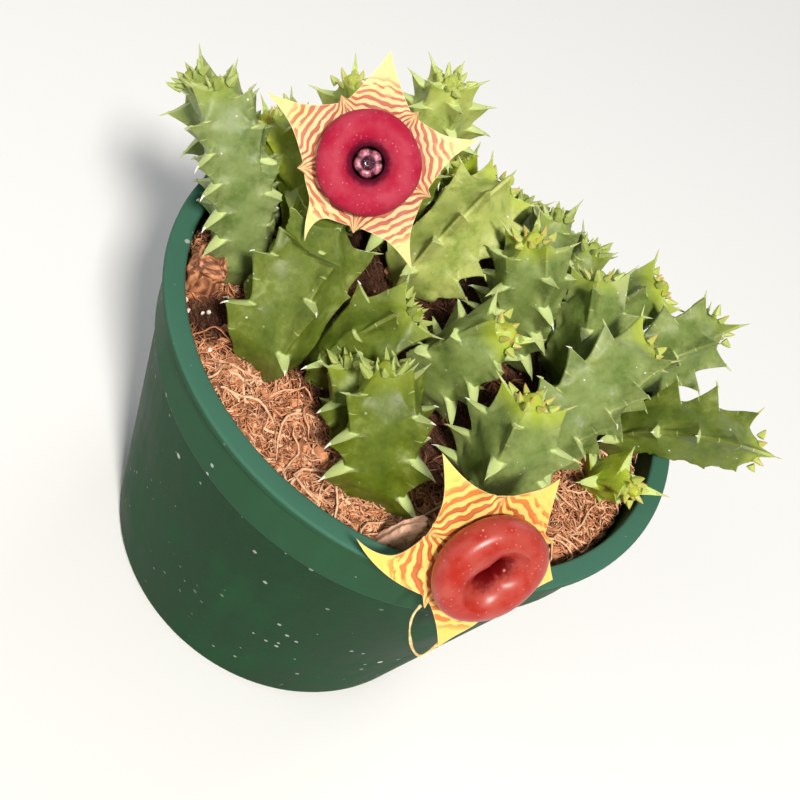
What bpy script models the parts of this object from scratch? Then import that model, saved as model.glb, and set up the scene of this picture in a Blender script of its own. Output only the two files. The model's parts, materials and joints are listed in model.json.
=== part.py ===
"""Potted starfish flower: a clump of toothed, ribbed succulent stems with two banded star
flowers, growing in a round plastic nursery pot.

Sizes below are in millimetres and become metres as each mesh is made. The origin is the
middle of the pot's underside, +Z is up the pot's axis, and both flowers face the -Y side.
"""

import math
from collections import namedtuple

import bmesh
import bpy
import numpy as np
from mathutils import Matrix, Vector

MM = 0.001
GAP = 0.3
MERGE = 0.00001

# The pot: a thin tapered shell, with a straight band under its flat lip.
POT_HEIGHT = 77.0
LIP_RADIUS = 52.5
LIP_WIDTH = 3.9
LIP_DEPTH = 1.6
BAND_RADIUS = 50.2
BAND_DEPTH = 13.7
BAND_STEP = 0.8
BASE_RADIUS = 39.5
BASE_ROUND = 2.5
WALL = 1.6
POT_SIDES = 48
DRAIN_HOLES = 6
DRAIN_RADIUS = 3.5
DRAIN_CIRCLE = 28.0

# The soil: it fills the pot to a little under the lip, with shallow waves and a few mounds.
SOIL_LEVEL = 71.0
SOIL_SIDES = 36
SOIL_RINGS = 7
LONG_WAVE = 0.35
SHORT_WAVE = 0.25
Mound = namedtuple("Mound", "x y radius height")
MOUNDS = (
    Mound(-43.0, -8.0, 7.0, 3.0),
    Mound(-30.0, -30.0, 12.0, 1.2),
    Mound(0.0, 8.0, 16.0, 1.5),
    Mound(40.0, -14.0, 8.0, 1.2),
)

# A bark chip stands on a level patch of soil at the front.
CHIP_PLACE = (15.2, -42.6)
CHIP_SIZE = (5.6, 3.8, 9.0)
CHIP_PATCH = 5.5
CHIP_PATCH_EDGE = 4.4
CHIP_TURN = 25.0
CHIP_BEVEL = 0.3

# The stems: four or five ribs, each with a row of pointed teeth. A share is one of the
# stem's radius. Old teeth hang a little, and near the tip they are shorter and stand up.
TOOTH_PITCH = 6.2
TOOTH_LENGTH = 4.9
TOOTH_LIFT = -0.8
TIP_TOOTH_LIFT = 3.2
TIP_TOOTH_SHARE = 0.75
YOUNG_LENGTH = 10.0
LOWEST_TOOTH = 4.5
HIGHEST_TOOTH = 1.0
RIDGE_SHARE = 0.92
FLANK_SHARE = 0.80
FLANK_TURN = 0.42
FLANK_TOOTH = 0.16
FOOT_DEPTH = 5.0
FOOT_SHARE = 0.58
FOOT_SWELL = 5.0
TAPER_LENGTH = 9.5
TAPER = 0.62
CAP_HEIGHT = 1.6
CAP_SHARE = 0.55
BEND_RADIUS = 13.0
STEM_GAP = 0.9
SOIL_CLEAR = 0.5
LIP_CLEAR = 2.2
LIP_SLOPE = 0.2
OUTER_SLOPE = 0.35
AXIS_SAMPLES = 17
Stem = namedtuple("Stem", "name root tip radius ribs turn")
STEMS = (
    Stem("stem_01", (-39, -15.5), (-55.0, -11.5, 102.8), 7.0, 4, 0),
    Stem("stem_02", (-42, 1), (-64.2, -3.8, 94.0), 5.8, 5, 40),
    Stem("stem_03", (-32, 3), (-48.4, 1.6, 92.0), 4.6, 4, 20),
    Stem("stem_04", (-32, 12.5), (-49.5, 13.0, 86.0), 6.0, 4, 0),
    Stem("stem_05", (-22.5, -25.5), (-27.7, -8.6, 92.5), 8.8, 5, 66),
    Stem("stem_06", (-12.5, -20), (-5.6, -12.2, 90.0), 6.8, 5, 60),
    Stem("stem_07", (5.6, -33.8), (-3.6, -29.4, 92.0), 8.4, 4, 0),
    Stem("stem_08", (-3, -28), (-9.6, -26.0, 84.0), 5.0, 4, 0),
    Stem("stem_09", (4, -7), (9.6, -6.0, 94.0), 7.6, 4, 30),
    Stem("stem_10", (11, 15), (3.0, 16.0, 97.0), 7.6, 5, 0),
    Stem("stem_11", (26, 18), (17.8, 26.0, 92.0), 7.0, 4, 45),
    Stem("stem_12", (24.5, 33.5), (30.0, 39.0, 90.0), 7.0, 4, 20),
    Stem("stem_13", (34, 24), (44.0, 40.0, 90.0), 6.8, 5, 0),
    Stem("stem_14", (27, -8), (32.2, 14.8, 94.0), 7.6, 4, 40),
    Stem("stem_15", (40, 12), (64.4, 19.0, 87.0), 6.4, 4, 43),
    Stem("stem_16", (23, -19.5), (19.6, -15.4, 93.5), 8.0, 4, 46),
    Stem("stem_17", (41, -1), (45.6, -5.3, 81.5), 4.6, 4, 0),
    Stem("stem_18", (-34, 22), (-42.2, 21.6, 96.0), 6.6, 4, 15),
    Stem("stem_19", (-24, 32), (-27.2, 30.0, 104.0), 6.8, 5, 30),
    Stem("stem_20", (-12.5, 39.5), (-18.8, 38.6, 85.0), 4.6, 4, 0),
    Stem("stem_21", (-11, 13), (-7.0, 31.0, 91.0), 8.4, 5, 12),
    Stem("stem_22", (9, 31), (4.0, 34.0, 92.0), 6.6, 4, 0),
    Stem("stem_23", (15.5, 38.5), (14.4, 41.0, 86.0), 6.0, 4, 30),
    Stem("stem_24", (-2, 41), (-3.0, 45.0, 82.0), 5.6, 4, 10),
    Stem("stem_25", (-21, 19.5), (-23.0, 17.0, 93.0), 6.6, 4, 40),
)

# The flowers: a five-pointed star round a raised ring, on a stalk from the side of a stem.
SINUS_RADIUS = 11.0
SINUS_POINT = 1.3
LOBE_POWER = 2.1
STAR_STEPS = (0.0, 0.06, 0.22, 0.42, 0.5, 0.58, 0.78, 0.94)
DISC_RADIUS = 9.2
PETAL_DROP = 0.2
PETAL_THICKNESS = 0.8
PETAL_REFLEX = 1.8
PETAL_REACH = 10.0
CURL_START = 12.0
RING_SIDES = 28
CUP_DEPTH = 6.6
CUP_RADIUS = 4.4
CORONA_RADIUS = 2.5
STALK_RADIUS = 1.2
CORONA_SIDES = 20
CORONA_STEM = 1.7
SEPAL_LENGTH = 5.6
SEPAL_THICKNESS = 0.35
STALK_SIDES = 10
STAR_CLEAR = 22.0
CUP_CLEAR = 7.2
STALK_CLEAR = 1.2
# A lobe has its angle in degrees, its length, and how far its tip curls aside in degrees.
Lobe = namedtuple("Lobe", "angle length curl")
Ring = namedtuple("Ring", "middle half_width height")
Flower = namedtuple("Flower", "name centre facing size ring lobes carrier carrier_share")
FLOWERS = (
    Flower("flower_1", (-26.6, -9.0, 107.0), (0.124, -0.780, 0.614), 0.98,
           Ring(5.95, 3.0, 4.8),
           (Lobe(-106, 17.2, 8), Lobe(-36, 19.6, 0), Lobe(43, 19.4, 0), Lobe(110, 19.2, 0),
            Lobe(177, 20.8, 0)),
           "stem_05", 0.55),
    Flower("flower_2", (27.2, -42.8, 84.5), (0.539, -0.702, 0.465), 1.02,
           Ring(5.65, 3.75, 6.4),
           (Lobe(-163, 20.8, -16), Lobe(-90, 19.2, 0), Lobe(-13, 16.2, 0), Lobe(59, 17.4, 0),
            Lobe(127, 20.4, 0)),
           "stem_16", 0.30),
)

COLOURS = {
    "pot": (0.030, 0.190, 0.130),
    "soil": (0.230, 0.105, 0.055),
    "bark": (0.330, 0.190, 0.110),
    "stem": (0.200, 0.330, 0.090),
    "corolla": (0.850, 0.600, 0.220),
    "ring": (0.480, 0.015, 0.045),
    "corona": (0.420, 0.120, 0.170),
}
ROUGHNESS = {"pot": 0.35, "soil": 0.95, "bark": 0.9, "stem": 0.5, "corolla": 0.5,
             "ring": 0.3, "corona": 0.4}


def clear_scene():
    for thing in list(bpy.data.objects):
        bpy.data.objects.remove(thing, do_unlink=True)


def make_collection(name):
    collection = bpy.data.collections.new(name)
    bpy.context.scene.collection.children.link(collection)
    return collection


def make_material(name, finish):
    material = bpy.data.materials.new(name)
    material.use_nodes = True
    shader = material.node_tree.nodes["Principled BSDF"]
    shader.inputs["Base Color"].default_value = (*COLOURS[finish], 1.0)
    shader.inputs["Roughness"].default_value = ROUGHNESS[finish]
    shader.inputs["Metallic"].default_value = 0.0
    material.diffuse_color = (*COLOURS[finish], 1.0)
    return material


def add_object(name, mesh, collection, finish=None):
    thing = bpy.data.objects.new(name, mesh)
    collection.objects.link(thing)
    if finish:
        mesh.materials.append(make_material(name, finish))
        mesh.shade_smooth()
        mesh.set_sharp_from_angle(angle=math.radians(40))
    else:
        thing.hide_render = True
        thing.display_type = "WIRE"
    return thing


def skin_rings(name, rings, fold=None):
    """Close a stack of equal rings of points, each end meeting in one point.

    Every quad is split along a diagonal. Past ring `fold` the other diagonal is used, so that
    the two faces of a thin blade that folds over at that ring are split alike.
    """
    mesh = bmesh.new()
    first = mesh.verts.new(Vector(rings[0].mean(axis=0) * MM))
    loops = [[mesh.verts.new(Vector(point * MM)) for point in ring] for ring in rings[1:-1]]
    last = mesh.verts.new(Vector(rings[-1].mean(axis=0) * MM))
    sides = len(loops[0])
    for j in range(sides):
        k = (j + 1) % sides
        mesh.faces.new((first, loops[0][k], loops[0][j]))
        mesh.faces.new((last, loops[-1][j], loops[-1][k]))
    for i in range(len(loops) - 1):
        lower, upper = loops[i], loops[i + 1]
        for j in range(sides):
            k = (j + 1) % sides
            if fold is None or i + 1 < fold:
                mesh.faces.new((lower[j], lower[k], upper[k]))
                mesh.faces.new((lower[j], upper[k], upper[j]))
            else:
                mesh.faces.new((lower[j], lower[k], upper[j]))
                mesh.faces.new((lower[k], upper[k], upper[j]))
    bmesh.ops.recalc_face_normals(mesh, faces=mesh.faces)
    data = bpy.data.meshes.new(name)
    mesh.to_mesh(data)
    mesh.free()
    return data


def turned(name, profile, sides, collection, finish, closed=False):
    """A solid turned round Z from (radius, height) points, in millimetres."""
    mesh = bmesh.new()
    corners = [mesh.verts.new((r * MM, 0.0, h * MM)) for r, h in profile]
    count = len(corners) if closed else len(corners) - 1
    for i in range(count):
        mesh.edges.new((corners[i], corners[(i + 1) % len(corners)]))
    data = bpy.data.meshes.new(name)
    mesh.to_mesh(data)
    mesh.free()
    thing = add_object(name, data, collection, finish)
    screw = thing.modifiers.new("turn", "SCREW")
    screw.steps = sides
    screw.render_steps = sides
    screw.use_merge_vertices = True
    screw.merge_threshold = MERGE
    screw.use_smooth_shade = True
    return thing


def cylinder_cutter(name, radius, bottom, top, sides, place, collection):
    mesh = bmesh.new()
    middle = Matrix.Translation(Vector((place[0], place[1], (bottom + top) / 2)) * MM)
    reach = radius / math.cos(math.pi / sides) * MM
    bmesh.ops.create_cone(mesh, cap_ends=True, segments=sides, radius1=reach, radius2=reach,
                          depth=(top - bottom) * MM, matrix=middle)
    data = bpy.data.meshes.new(name)
    mesh.to_mesh(data)
    mesh.free()
    return add_object(name, data, collection)


def combine(thing, operation, others):
    cut = thing.modifiers.new(operation.lower(), "BOOLEAN")
    cut.operation = operation
    cut.solver = "EXACT"
    cut.operand_type = "COLLECTION"
    cut.collection = others


def wall_inside(height):
    """Inner radius of the pot at a height."""
    step = POT_HEIGHT - BAND_DEPTH
    if height >= step:
        return BAND_RADIUS - WALL
    top = BAND_RADIUS - BAND_STEP - WALL
    bottom = BASE_RADIUS - WALL
    return bottom + (top - bottom) * max(height, 0.0) / step


def make_pot(collection, cutters):
    step = POT_HEIGHT - BAND_DEPTH
    lip = POT_HEIGHT - LIP_DEPTH
    inside = [(0.0, WALL), (wall_inside(WALL), WALL), (wall_inside(step - 1.0), step - 1.0),
              (wall_inside(step), step), (LIP_RADIUS - LIP_WIDTH, POT_HEIGHT)]
    lip_edge = [(LIP_RADIUS - 0.4, POT_HEIGHT), (LIP_RADIUS, POT_HEIGHT - 0.4),
                (LIP_RADIUS, lip), (BAND_RADIUS, lip - 0.3)]
    band = [(BAND_RADIUS, step), (BAND_RADIUS - BAND_STEP, step - 0.8)]
    foot = []
    for i in range(4):
        angle = math.radians(30 * i)
        foot.append((BASE_RADIUS - BASE_ROUND * (1 - math.cos(angle)),
                     BASE_ROUND * (1 - math.sin(angle))))
    pot = turned("pot", inside + lip_edge + band + foot + [(0.0, 0.0)], POT_SIDES,
                 collection, "pot")
    for i in range(DRAIN_HOLES):
        angle = math.tau * i / DRAIN_HOLES
        place = (DRAIN_CIRCLE * math.cos(angle), DRAIN_CIRCLE * math.sin(angle))
        cylinder_cutter(f"drain_{i + 1}", DRAIN_RADIUS, -1.0, WALL + 1.0, 12, place, cutters)
    combine(pot, "DIFFERENCE", cutters)


def soil_height(x, y):
    """Height of the soil over the pot's base: level, with waves, mounds and a flat patch."""
    height = SOIL_LEVEL + LONG_WAVE * np.sin(0.33 * x + 1.0) * np.cos(0.29 * y)
    height = height + SHORT_WAVE * np.sin(0.61 * x - 0.43 * y)
    for mound in MOUNDS:
        reach = ((x - mound.x) ** 2 + (y - mound.y) ** 2) / mound.radius ** 2
        height = height + mound.height * np.exp(-reach)
    beside = np.hypot(x - CHIP_PLACE[0], y - CHIP_PLACE[1]) - CHIP_PATCH
    keep = np.clip(beside / CHIP_PATCH_EDGE, 0.0, 1.0)
    return SOIL_LEVEL + (height - SOIL_LEVEL) * keep


def circle(radius, height, sides):
    angle = np.arange(sides) * math.tau / sides
    x = radius * np.cos(angle)
    y = radius * np.sin(angle)
    return np.stack([x, y, np.broadcast_to(height, angle.shape)], axis=1)


def make_soil(collection, cutters):
    floor = WALL + GAP
    step = POT_HEIGHT - BAND_DEPTH - 1.0
    rings = [circle(0.1, floor, SOIL_SIDES)]
    rings.append(circle(wall_inside(floor) - GAP, floor, SOIL_SIDES))
    rings.append(circle(wall_inside(step) - GAP, step, SOIL_SIDES))
    edge = wall_inside(POT_HEIGHT) - GAP
    for i in range(SOIL_RINGS + 1):
        ring = circle(edge * (1 - i / (SOIL_RINGS + 0.5)), 0.0, SOIL_SIDES)
        ring[:, 2] = soil_height(ring[:, 0], ring[:, 1])
        rings.append(ring)
    rings.append(rings[-1] * (0.01, 0.01, 1.0))
    soil = add_object("soil", skin_rings("soil", rings), collection, "soil")
    for stem in STEMS:
        bottom = SOIL_LEVEL - FOOT_DEPTH - GAP
        radius = stem.radius * FOOT_SHARE + GAP
        cylinder_cutter(f"hole_{stem.name}", radius, bottom, POT_HEIGHT + 8.0, 10, stem.root,
                        cutters)
    combine(soil, "DIFFERENCE", cutters)


def make_chip(collection):
    """A wedge of bark: a block with its top corners drawn in, on three low points."""
    mesh = bmesh.new()
    bmesh.ops.create_cube(mesh, size=1.0)
    bmesh.ops.subdivide_edges(mesh, edges=mesh.edges[:], cuts=1, use_grid_fill=True)
    for corner in mesh.verts:
        x, y, z = corner.co
        narrow = 1.0 - 0.55 * (z + 0.5)
        corner.co.x = (x * narrow + 0.10 * z + 0.05 * math.sin(9 * y)) * CHIP_SIZE[0]
        corner.co.y = (y * (1.0 - 0.35 * (z + 0.5)) + 0.06 * math.sin(8 * x)) * CHIP_SIZE[1]
        corner.co.z = (z + 0.5) * CHIP_SIZE[2] * (1.0 + 0.25 * x * (z + 0.5))
    turn = Matrix.Rotation(math.radians(CHIP_TURN), 4, "Z")
    place = Matrix.Translation((*CHIP_PLACE, SOIL_LEVEL + GAP))
    bmesh.ops.transform(mesh, verts=mesh.verts, matrix=Matrix.Scale(MM, 4) @ place @ turn)
    data = bpy.data.meshes.new("bark_chip")
    mesh.to_mesh(data)
    mesh.free()
    chip = add_object("bark_chip", data, collection, "bark")
    bevel = chip.modifiers.new("worn", "BEVEL")
    bevel.width = CHIP_BEVEL * MM
    bevel.segments = 1
    bevel.limit_method = "ANGLE"


class Axis:
    """The middle line of a stem: straight up at the soil, then leaning over to the tip."""

    def __init__(self, stem):
        x, y = stem.root
        self.root = np.array((x, y, float(soil_height(float(x), float(y)))))
        away = np.array(stem.tip[:2]) - self.root[:2]
        self.reach = float(np.hypot(*away))
        self.lean = np.array((*(away / max(self.reach, 1e-6)), 0.0))
        self.rise = stem.tip[2] - self.root[2]
        self.lift = max(self.rise / 2, math.sqrt(BEND_RADIUS * self.reach / 2))
        share = np.linspace(0.0, 1.0, 200)
        path = self.curve(share)
        steps = np.linalg.norm(np.diff(path, axis=0), axis=1)
        self.shares = share
        self.lengths = np.concatenate([[0.0], np.cumsum(steps)])
        self.length = float(self.lengths[-1])
        self.line = self.curve(np.linspace(0.0, 1.0, AXIS_SAMPLES))

    def curve(self, share):
        share = np.asarray(share)[..., None]
        height = 2 * share * (1 - share) * self.lift + share ** 2 * self.rise
        return self.root + self.lean * self.reach * share ** 2 + np.array((0, 0, 1)) * height

    def frame(self, along):
        """Point, inward normal, side and tangent at a length along the stem."""
        share = np.interp(along, self.lengths, self.shares)
        point = self.curve(share)
        ahead = (self.lean * 2 * self.reach * share
                 + np.array((0, 0, 1)) * (2 * (1 - 2 * share) * self.lift + 2 * share * self.rise))
        tangent = ahead / np.linalg.norm(ahead)
        side = np.cross((0.0, 0.0, 1.0), self.lean)
        normal = np.cross(side, tangent)
        past = along - min(max(along, 0.0), self.length)
        return point + tangent * past, normal, side, tangent


def distance_to_line(points, line):
    """Distance from each point to a polyline."""
    start, run = line[:-1], np.diff(line, axis=0)
    offset = points[:, None, :] - start[None]
    share = np.einsum("ijk,jk->ij", offset, run) / np.einsum("jk,jk->j", run, run)
    near = offset - np.clip(share, 0.0, 1.0)[..., None] * run[None]
    return np.sqrt(np.einsum("ijk,ijk->ij", near, near).min(axis=1))


def stalk_line(flower, axes):
    """Middle line of a flower stalk, from inside its stem to the back of the flower."""
    facing, _, _ = flower_frame(flower)
    axis = axes[flower.carrier]
    start = axis.frame(axis.length * flower.carrier_share)[0]
    end = np.array(flower.centre) - facing * (CUP_DEPTH + 2.4) * flower.size
    bend = end - facing * 0.45 * np.linalg.norm(end - start)
    share = np.linspace(0.0, 1.0, 9)[:, None]
    return (1 - share) ** 2 * start + 2 * share * (1 - share) * bend + share ** 2 * end


def flower_frame(flower):
    """Facing direction of a flower, and the level and rising directions in its plane."""
    facing = np.array(flower.facing)
    facing = facing / np.linalg.norm(facing)
    level = np.cross((0.0, 0.0, 1.0), facing)
    level = level / np.linalg.norm(level)
    return facing, level, np.cross(facing, level)


def clear_of_pot(points):
    """True above the lip and inside the wall, with a bevel between them."""
    inward = LIP_RADIUS - LIP_WIDTH - LIP_CLEAR - np.hypot(points[:, 0], points[:, 1])
    limit = np.where(inward > 0, inward + LIP_SLOPE * inward ** 2, OUTER_SLOPE * inward)
    return points[:, 2] > POT_HEIGHT + LIP_CLEAR / 2 - limit


def clear_of_flower(points, flower):
    """True behind or beside a flower's star, cup and stalk."""
    facing, _, _ = flower_frame(flower)
    offset = points - np.array(flower.centre)
    height = offset @ facing
    spread = np.linalg.norm(offset - height[:, None] * facing, axis=1)
    star = (spread < STAR_CLEAR * flower.size) & (height > -4.2) & (height < 8.0)
    cup = (spread < CUP_CLEAR * flower.size) & (height > -10.5) & (height <= 0.0)
    return ~(star | cup)


def is_free(points, name, axes, stalks):
    """True where a point of a stem may lie: nearer its own axis than any other's."""
    radii = {stem.name: stem.radius for stem in STEMS}
    own = distance_to_line(points, axes[name].line) - radii[name]
    free = clear_of_pot(points)
    free &= points[:, 2] > soil_height(points[:, 0], points[:, 1]) + SOIL_CLEAR
    for other, axis in axes.items():
        if other != name:
            free &= own < distance_to_line(points, axis.line) - radii[other] - STEM_GAP
    for flower in FLOWERS:
        free &= clear_of_flower(points, flower)
        if flower.carrier != name:
            reach = distance_to_line(points, stalks[flower.name])
            free &= reach > STALK_RADIUS * flower.size + STALK_CLEAR
    return free


def draw_in(points, middles, name, axes, stalks):
    """Pull each point towards the stem's axis until it lies where it may."""
    offset = points - middles
    low = np.zeros(len(points))
    high = np.ones(len(points))
    free = is_free(points, name, axes, stalks)
    low[free] = 1.0
    for _ in range(8):
        share = (low + high) / 2
        free = is_free(middles + offset * share[:, None], name, axes, stalks)
        low = np.where(free, np.maximum(low, share), low)
        high = np.where(free, high, share)
    return middles + offset * low[:, None]


def body_share(along, length):
    """Thickness of a stem along its length, as a share of its radius."""
    foot = min(max(along / FOOT_SWELL, 0.0), 1.0)
    end = min(max((along - length) / TAPER_LENGTH + 1.0, 0.0), 1.0)
    return (FOOT_SHARE + (1 - FOOT_SHARE) * foot ** 0.7) * (1 - TAPER * end ** 2)


def stem_rings(stem, axes, stalks):
    """Rings of points up a stem. Teeth stand on alternate ribs, half a pitch apart."""
    axis = axes[stem.name]
    flank = math.pi / stem.ribs * FLANK_TURN
    half = TOOTH_PITCH / 2
    rows = max(3, round((axis.length - LOWEST_TOOTH - HIGHEST_TOOTH) / half))
    first = axis.length - HIGHEST_TOOTH - rows * half
    cap = axis.length + CAP_HEIGHT
    levels = [-FOOT_DEPTH, -FOOT_DEPTH, GAP, max(first - half, 1.6)]
    teeth = range(len(levels), len(levels) + rows + 1)
    levels += [first + half * i for i in range(rows + 1)]
    levels += [cap, cap]
    rings, middles, loose = [], [], []
    for index, along in enumerate(levels):
        point, normal, side, tangent = axis.frame(along)
        share = body_share(along, axis.length)
        young = min(max((along - axis.length) / YOUNG_LENGTH + 1.0, 0.0), 1.0)
        size = TOOTH_LENGTH * (1 + (TIP_TOOTH_SHARE - 1) * young) * (0.75 + 0.25 * share)
        ring = []
        for rib in range(stem.ribs):
            for turn in (-flank, 0.0, flank):
                angle = math.radians(stem.turn) + math.tau * rib / stem.ribs + turn
                radius = stem.radius * share * (RIDGE_SHARE if turn == 0.0 else FLANK_SHARE)
                lift = 0.0
                if index in teeth and (index + rib) % 2 == 0:
                    rise = 1.0 if turn == 0.0 else FLANK_TOOTH
                    radius += rise * size
                    lift = rise * (TOOTH_LIFT + (TIP_TOOTH_LIFT - TOOTH_LIFT) * young)
                if index == len(levels) - 2:
                    radius *= CAP_SHARE
                outward = normal * math.cos(angle) + side * math.sin(angle)
                ring.append(point + outward * radius + tangent * lift)
        rings.append(np.array(ring))
        middles.append(np.broadcast_to(point, (len(ring), 3)))
        loose.append(along > GAP)
    fixed = [ring for ring, free in zip(rings, loose) if not free]
    count = len(rings[0])
    points = np.concatenate([ring for ring, free in zip(rings, loose) if free])
    cores = np.concatenate([core for core, free in zip(middles, loose) if free])
    points = draw_in(points, cores, stem.name, axes, stalks)
    return fixed + [points[i:i + count] for i in range(0, len(points), count)]


def star_radius(flower, angle):
    """Outer radius of the star: concave between tips, with a small point at each notch."""
    lobes = flower.lobes
    for i, lobe in enumerate(lobes):
        after = lobes[(i + 1) % len(lobes)]
        gap = (after.angle - lobe.angle) % 360.0
        turn = (angle - lobe.angle) % 360.0
        if turn <= gap:
            share = turn / gap * 2
            length = lobe.length
            if share > 1.0:
                share, length = 2.0 - share, after.length
            notch = SINUS_POINT * max(0.0, 1.0 - (1.0 - share) / 0.12)
            return SINUS_RADIUS + (length - SINUS_RADIUS) * (1 - share) ** LOBE_POWER + notch
    return SINUS_RADIUS


def star_angles(flower):
    """Angles of the star's columns: close together at each tip and each notch."""
    angles = []
    for i, lobe in enumerate(flower.lobes):
        gap = (flower.lobes[(i + 1) % 5].angle - lobe.angle) % 360.0
        angles += [lobe.angle + gap * share for share in STAR_STEPS]
    return angles


def curl(flower, angle, radius):
    """Sideways bend, in radians, of a point of the star beyond the notches."""
    lobe = min(flower.lobes, key=lambda lobe: abs((angle - lobe.angle + 180) % 360 - 180))
    reach = max(0.0, (radius - CURL_START) / (lobe.length - CURL_START))
    return math.radians(lobe.curl) * reach ** 1.5


def make_corolla(flower, collection):
    """The star with its cup: one thin blade, made as its upper face folded over at the edge."""
    angles = star_angles(flower)
    edge = np.array([star_radius(flower, angle) for angle in angles])

    def ring(radius, height):
        radius = np.broadcast_to(radius, edge.shape)
        bend = [curl(flower, angle, reach) for angle, reach in zip(angles, radius)]
        turns = np.radians(angles) + bend
        return np.column_stack([radius * np.cos(turns), radius * np.sin(turns),
                                np.broadcast_to(height, edge.shape)])

    def petal(share):
        radius = DISC_RADIUS + (edge - DISC_RADIUS) * share
        height = -PETAL_DROP - PETAL_REFLEX * ((radius - DISC_RADIUS) / PETAL_REACH) ** 2
        return radius, height

    deep = PETAL_THICKNESS
    top = [ring(0.2, -CUP_DEPTH), ring(CUP_RADIUS - 1.6, -CUP_DEPTH), ring(CUP_RADIUS, -3.6),
           ring(5.8, -0.5)]
    top += [ring(*petal(share)) for share in (0.0, 0.4, 0.75, 1.0)]
    under = []
    for share in (0.97, 0.72, 0.38, 0.0):
        radius, height = petal(share)
        under.append(ring(radius, height - deep))
    under += [ring(6.4, -1.5), ring(CUP_RADIUS + 0.9, -4.0),
              ring(CUP_RADIUS - 1.0, -CUP_DEPTH - deep), ring(0.2, -CUP_DEPTH - deep)]
    data = skin_rings(f"{flower.name}_corolla", top + under, fold=len(top) - 1)
    return add_object(data.name, data, collection, "corolla")


def make_ring(flower, collection):
    """The raised ring: an oval turned round the flower's middle, flat on the star."""
    ring = flower.ring
    profile = []
    for i in range(12):
        angle = math.radians(90 - 30 * i)
        height = ring.height / 2 * (1 + math.sin(angle))
        profile.append((ring.middle + ring.half_width * math.cos(angle), height))
    return turned(f"{flower.name}_ring", profile, RING_SIDES, collection, "ring", closed=True)


def make_corona(flower, collection):
    """The five-lobed knob in the middle of the flower, standing in the cup."""
    turns = np.arange(CORONA_SIDES) * math.tau / CORONA_SIDES

    def ring(radius, height, lobed):
        reach = radius * (1 + lobed * np.cos(5 * turns))
        return np.column_stack([reach * np.cos(turns), reach * np.sin(turns),
                                np.full(CORONA_SIDES, height)])

    top = 1.2 if flower.ring.middle - flower.ring.half_width > CORONA_RADIUS else -0.6
    foot = -CUP_DEPTH + GAP
    rings = [ring(0.1, top, 0.0), ring(1.2, top - 0.2, 0.0), ring(2.2, top - 0.3, 0.12)]
    rings += [ring(CORONA_RADIUS, top - 1.6, 0.06), ring(CORONA_STEM, -3.2, 0.0)]
    rings += [ring(CORONA_STEM, foot, 0.0), ring(0.1, foot, 0.0)]
    data = skin_rings(f"{flower.name}_corona", rings)
    return add_object(data.name, data, collection, "corona")


def make_stalk(flower, axes, collection):
    """The stalk, opening at its end into five pointed sepals under the flower's cup."""
    line = stalk_line(flower, axes)
    facing, level, rising = flower_frame(flower)
    turns = np.arange(STALK_SIDES) * math.tau / STALK_SIDES
    around = np.outer(np.cos(turns), level) + np.outer(np.sin(turns), rising)
    thick = STALK_RADIUS * flower.size
    rings = [np.repeat(line[:1], STALK_SIDES, axis=0)]
    for i in range(len(line)):
        ahead = line[min(i + 1, len(line) - 1)] - line[max(i - 1, 0)]
        ahead = ahead / np.linalg.norm(ahead)
        side = np.cross(rising, ahead)
        side = side / np.linalg.norm(side)
        other = np.cross(ahead, side)
        spread = np.outer(np.cos(turns), side) + np.outer(np.sin(turns), other)
        rings.append(line[i] + spread * thick)
    point = np.arange(STALK_SIDES) % 2 == 0
    end = np.array(flower.centre) - facing * (CUP_DEPTH + PETAL_THICKNESS + GAP) * flower.size
    inner = np.where(point, 3.5, 1.6)[:, None] * flower.size
    outer = np.where(point, SEPAL_LENGTH, 2.0)[:, None] * flower.size
    rise = np.where(point, 0.5, -0.1)[:, None] * flower.size
    rings.append(end + around * inner - facing * 0.8)
    rings.append(end + around * outer + facing * (rise - SEPAL_THICKNESS))
    rings.append(end + around * outer * 0.97 + facing * rise)
    rings.append(end + around * inner * 0.9)
    rings.append(np.repeat(end[None], STALK_SIDES, axis=0))
    return add_object(f"{flower.name}_stalk", skin_rings(f"{flower.name}_stalk", rings),
                      collection)


def make_flower(flower, axes, collection, stalks):
    facing, level, rising = flower_frame(flower)
    place = Matrix((level, rising, facing)).transposed().to_4x4()
    place.translation = Vector(flower.centre) * MM
    for build in (make_corolla, make_ring, make_corona):
        piece = build(flower, collection)
        piece.matrix_world = place @ Matrix.Scale(flower.size, 4)
    make_stalk(flower, axes, stalks)


def main():
    clear_scene()
    plant = make_collection("potted_starfish_flower")
    drains = make_collection("drain_cutters")
    holes = make_collection("root_hole_cutters")
    make_pot(plant, drains)
    make_soil(plant, holes)
    make_chip(plant)
    axes = {stem.name: Axis(stem) for stem in STEMS}
    stalks = {flower.name: stalk_line(flower, axes) for flower in FLOWERS}
    for stem in STEMS:
        rings = stem_rings(stem, axes, stalks)
        add_object(stem.name, skin_rings(stem.name, rings), plant, "stem")
    for flower in FLOWERS:
        joined = make_collection(f"{flower.name}_stalk_parts")
        make_flower(flower, axes, plant, joined)
        combine(plant.objects[flower.carrier], "UNION", joined)


main()
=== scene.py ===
"""Looks of a potted starfish flower: pot, soil, toothed stems and two banded star flowers.

Sizes are in millimetres and become metres as each mesh is made. The pot stands on the floor
at the origin, its axis is +Z, and both flowers face the -Y side.
"""

import json
import math
from collections import namedtuple

import bmesh
import bpy
import numpy as np
from mathutils import Matrix, Vector, noise

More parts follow.
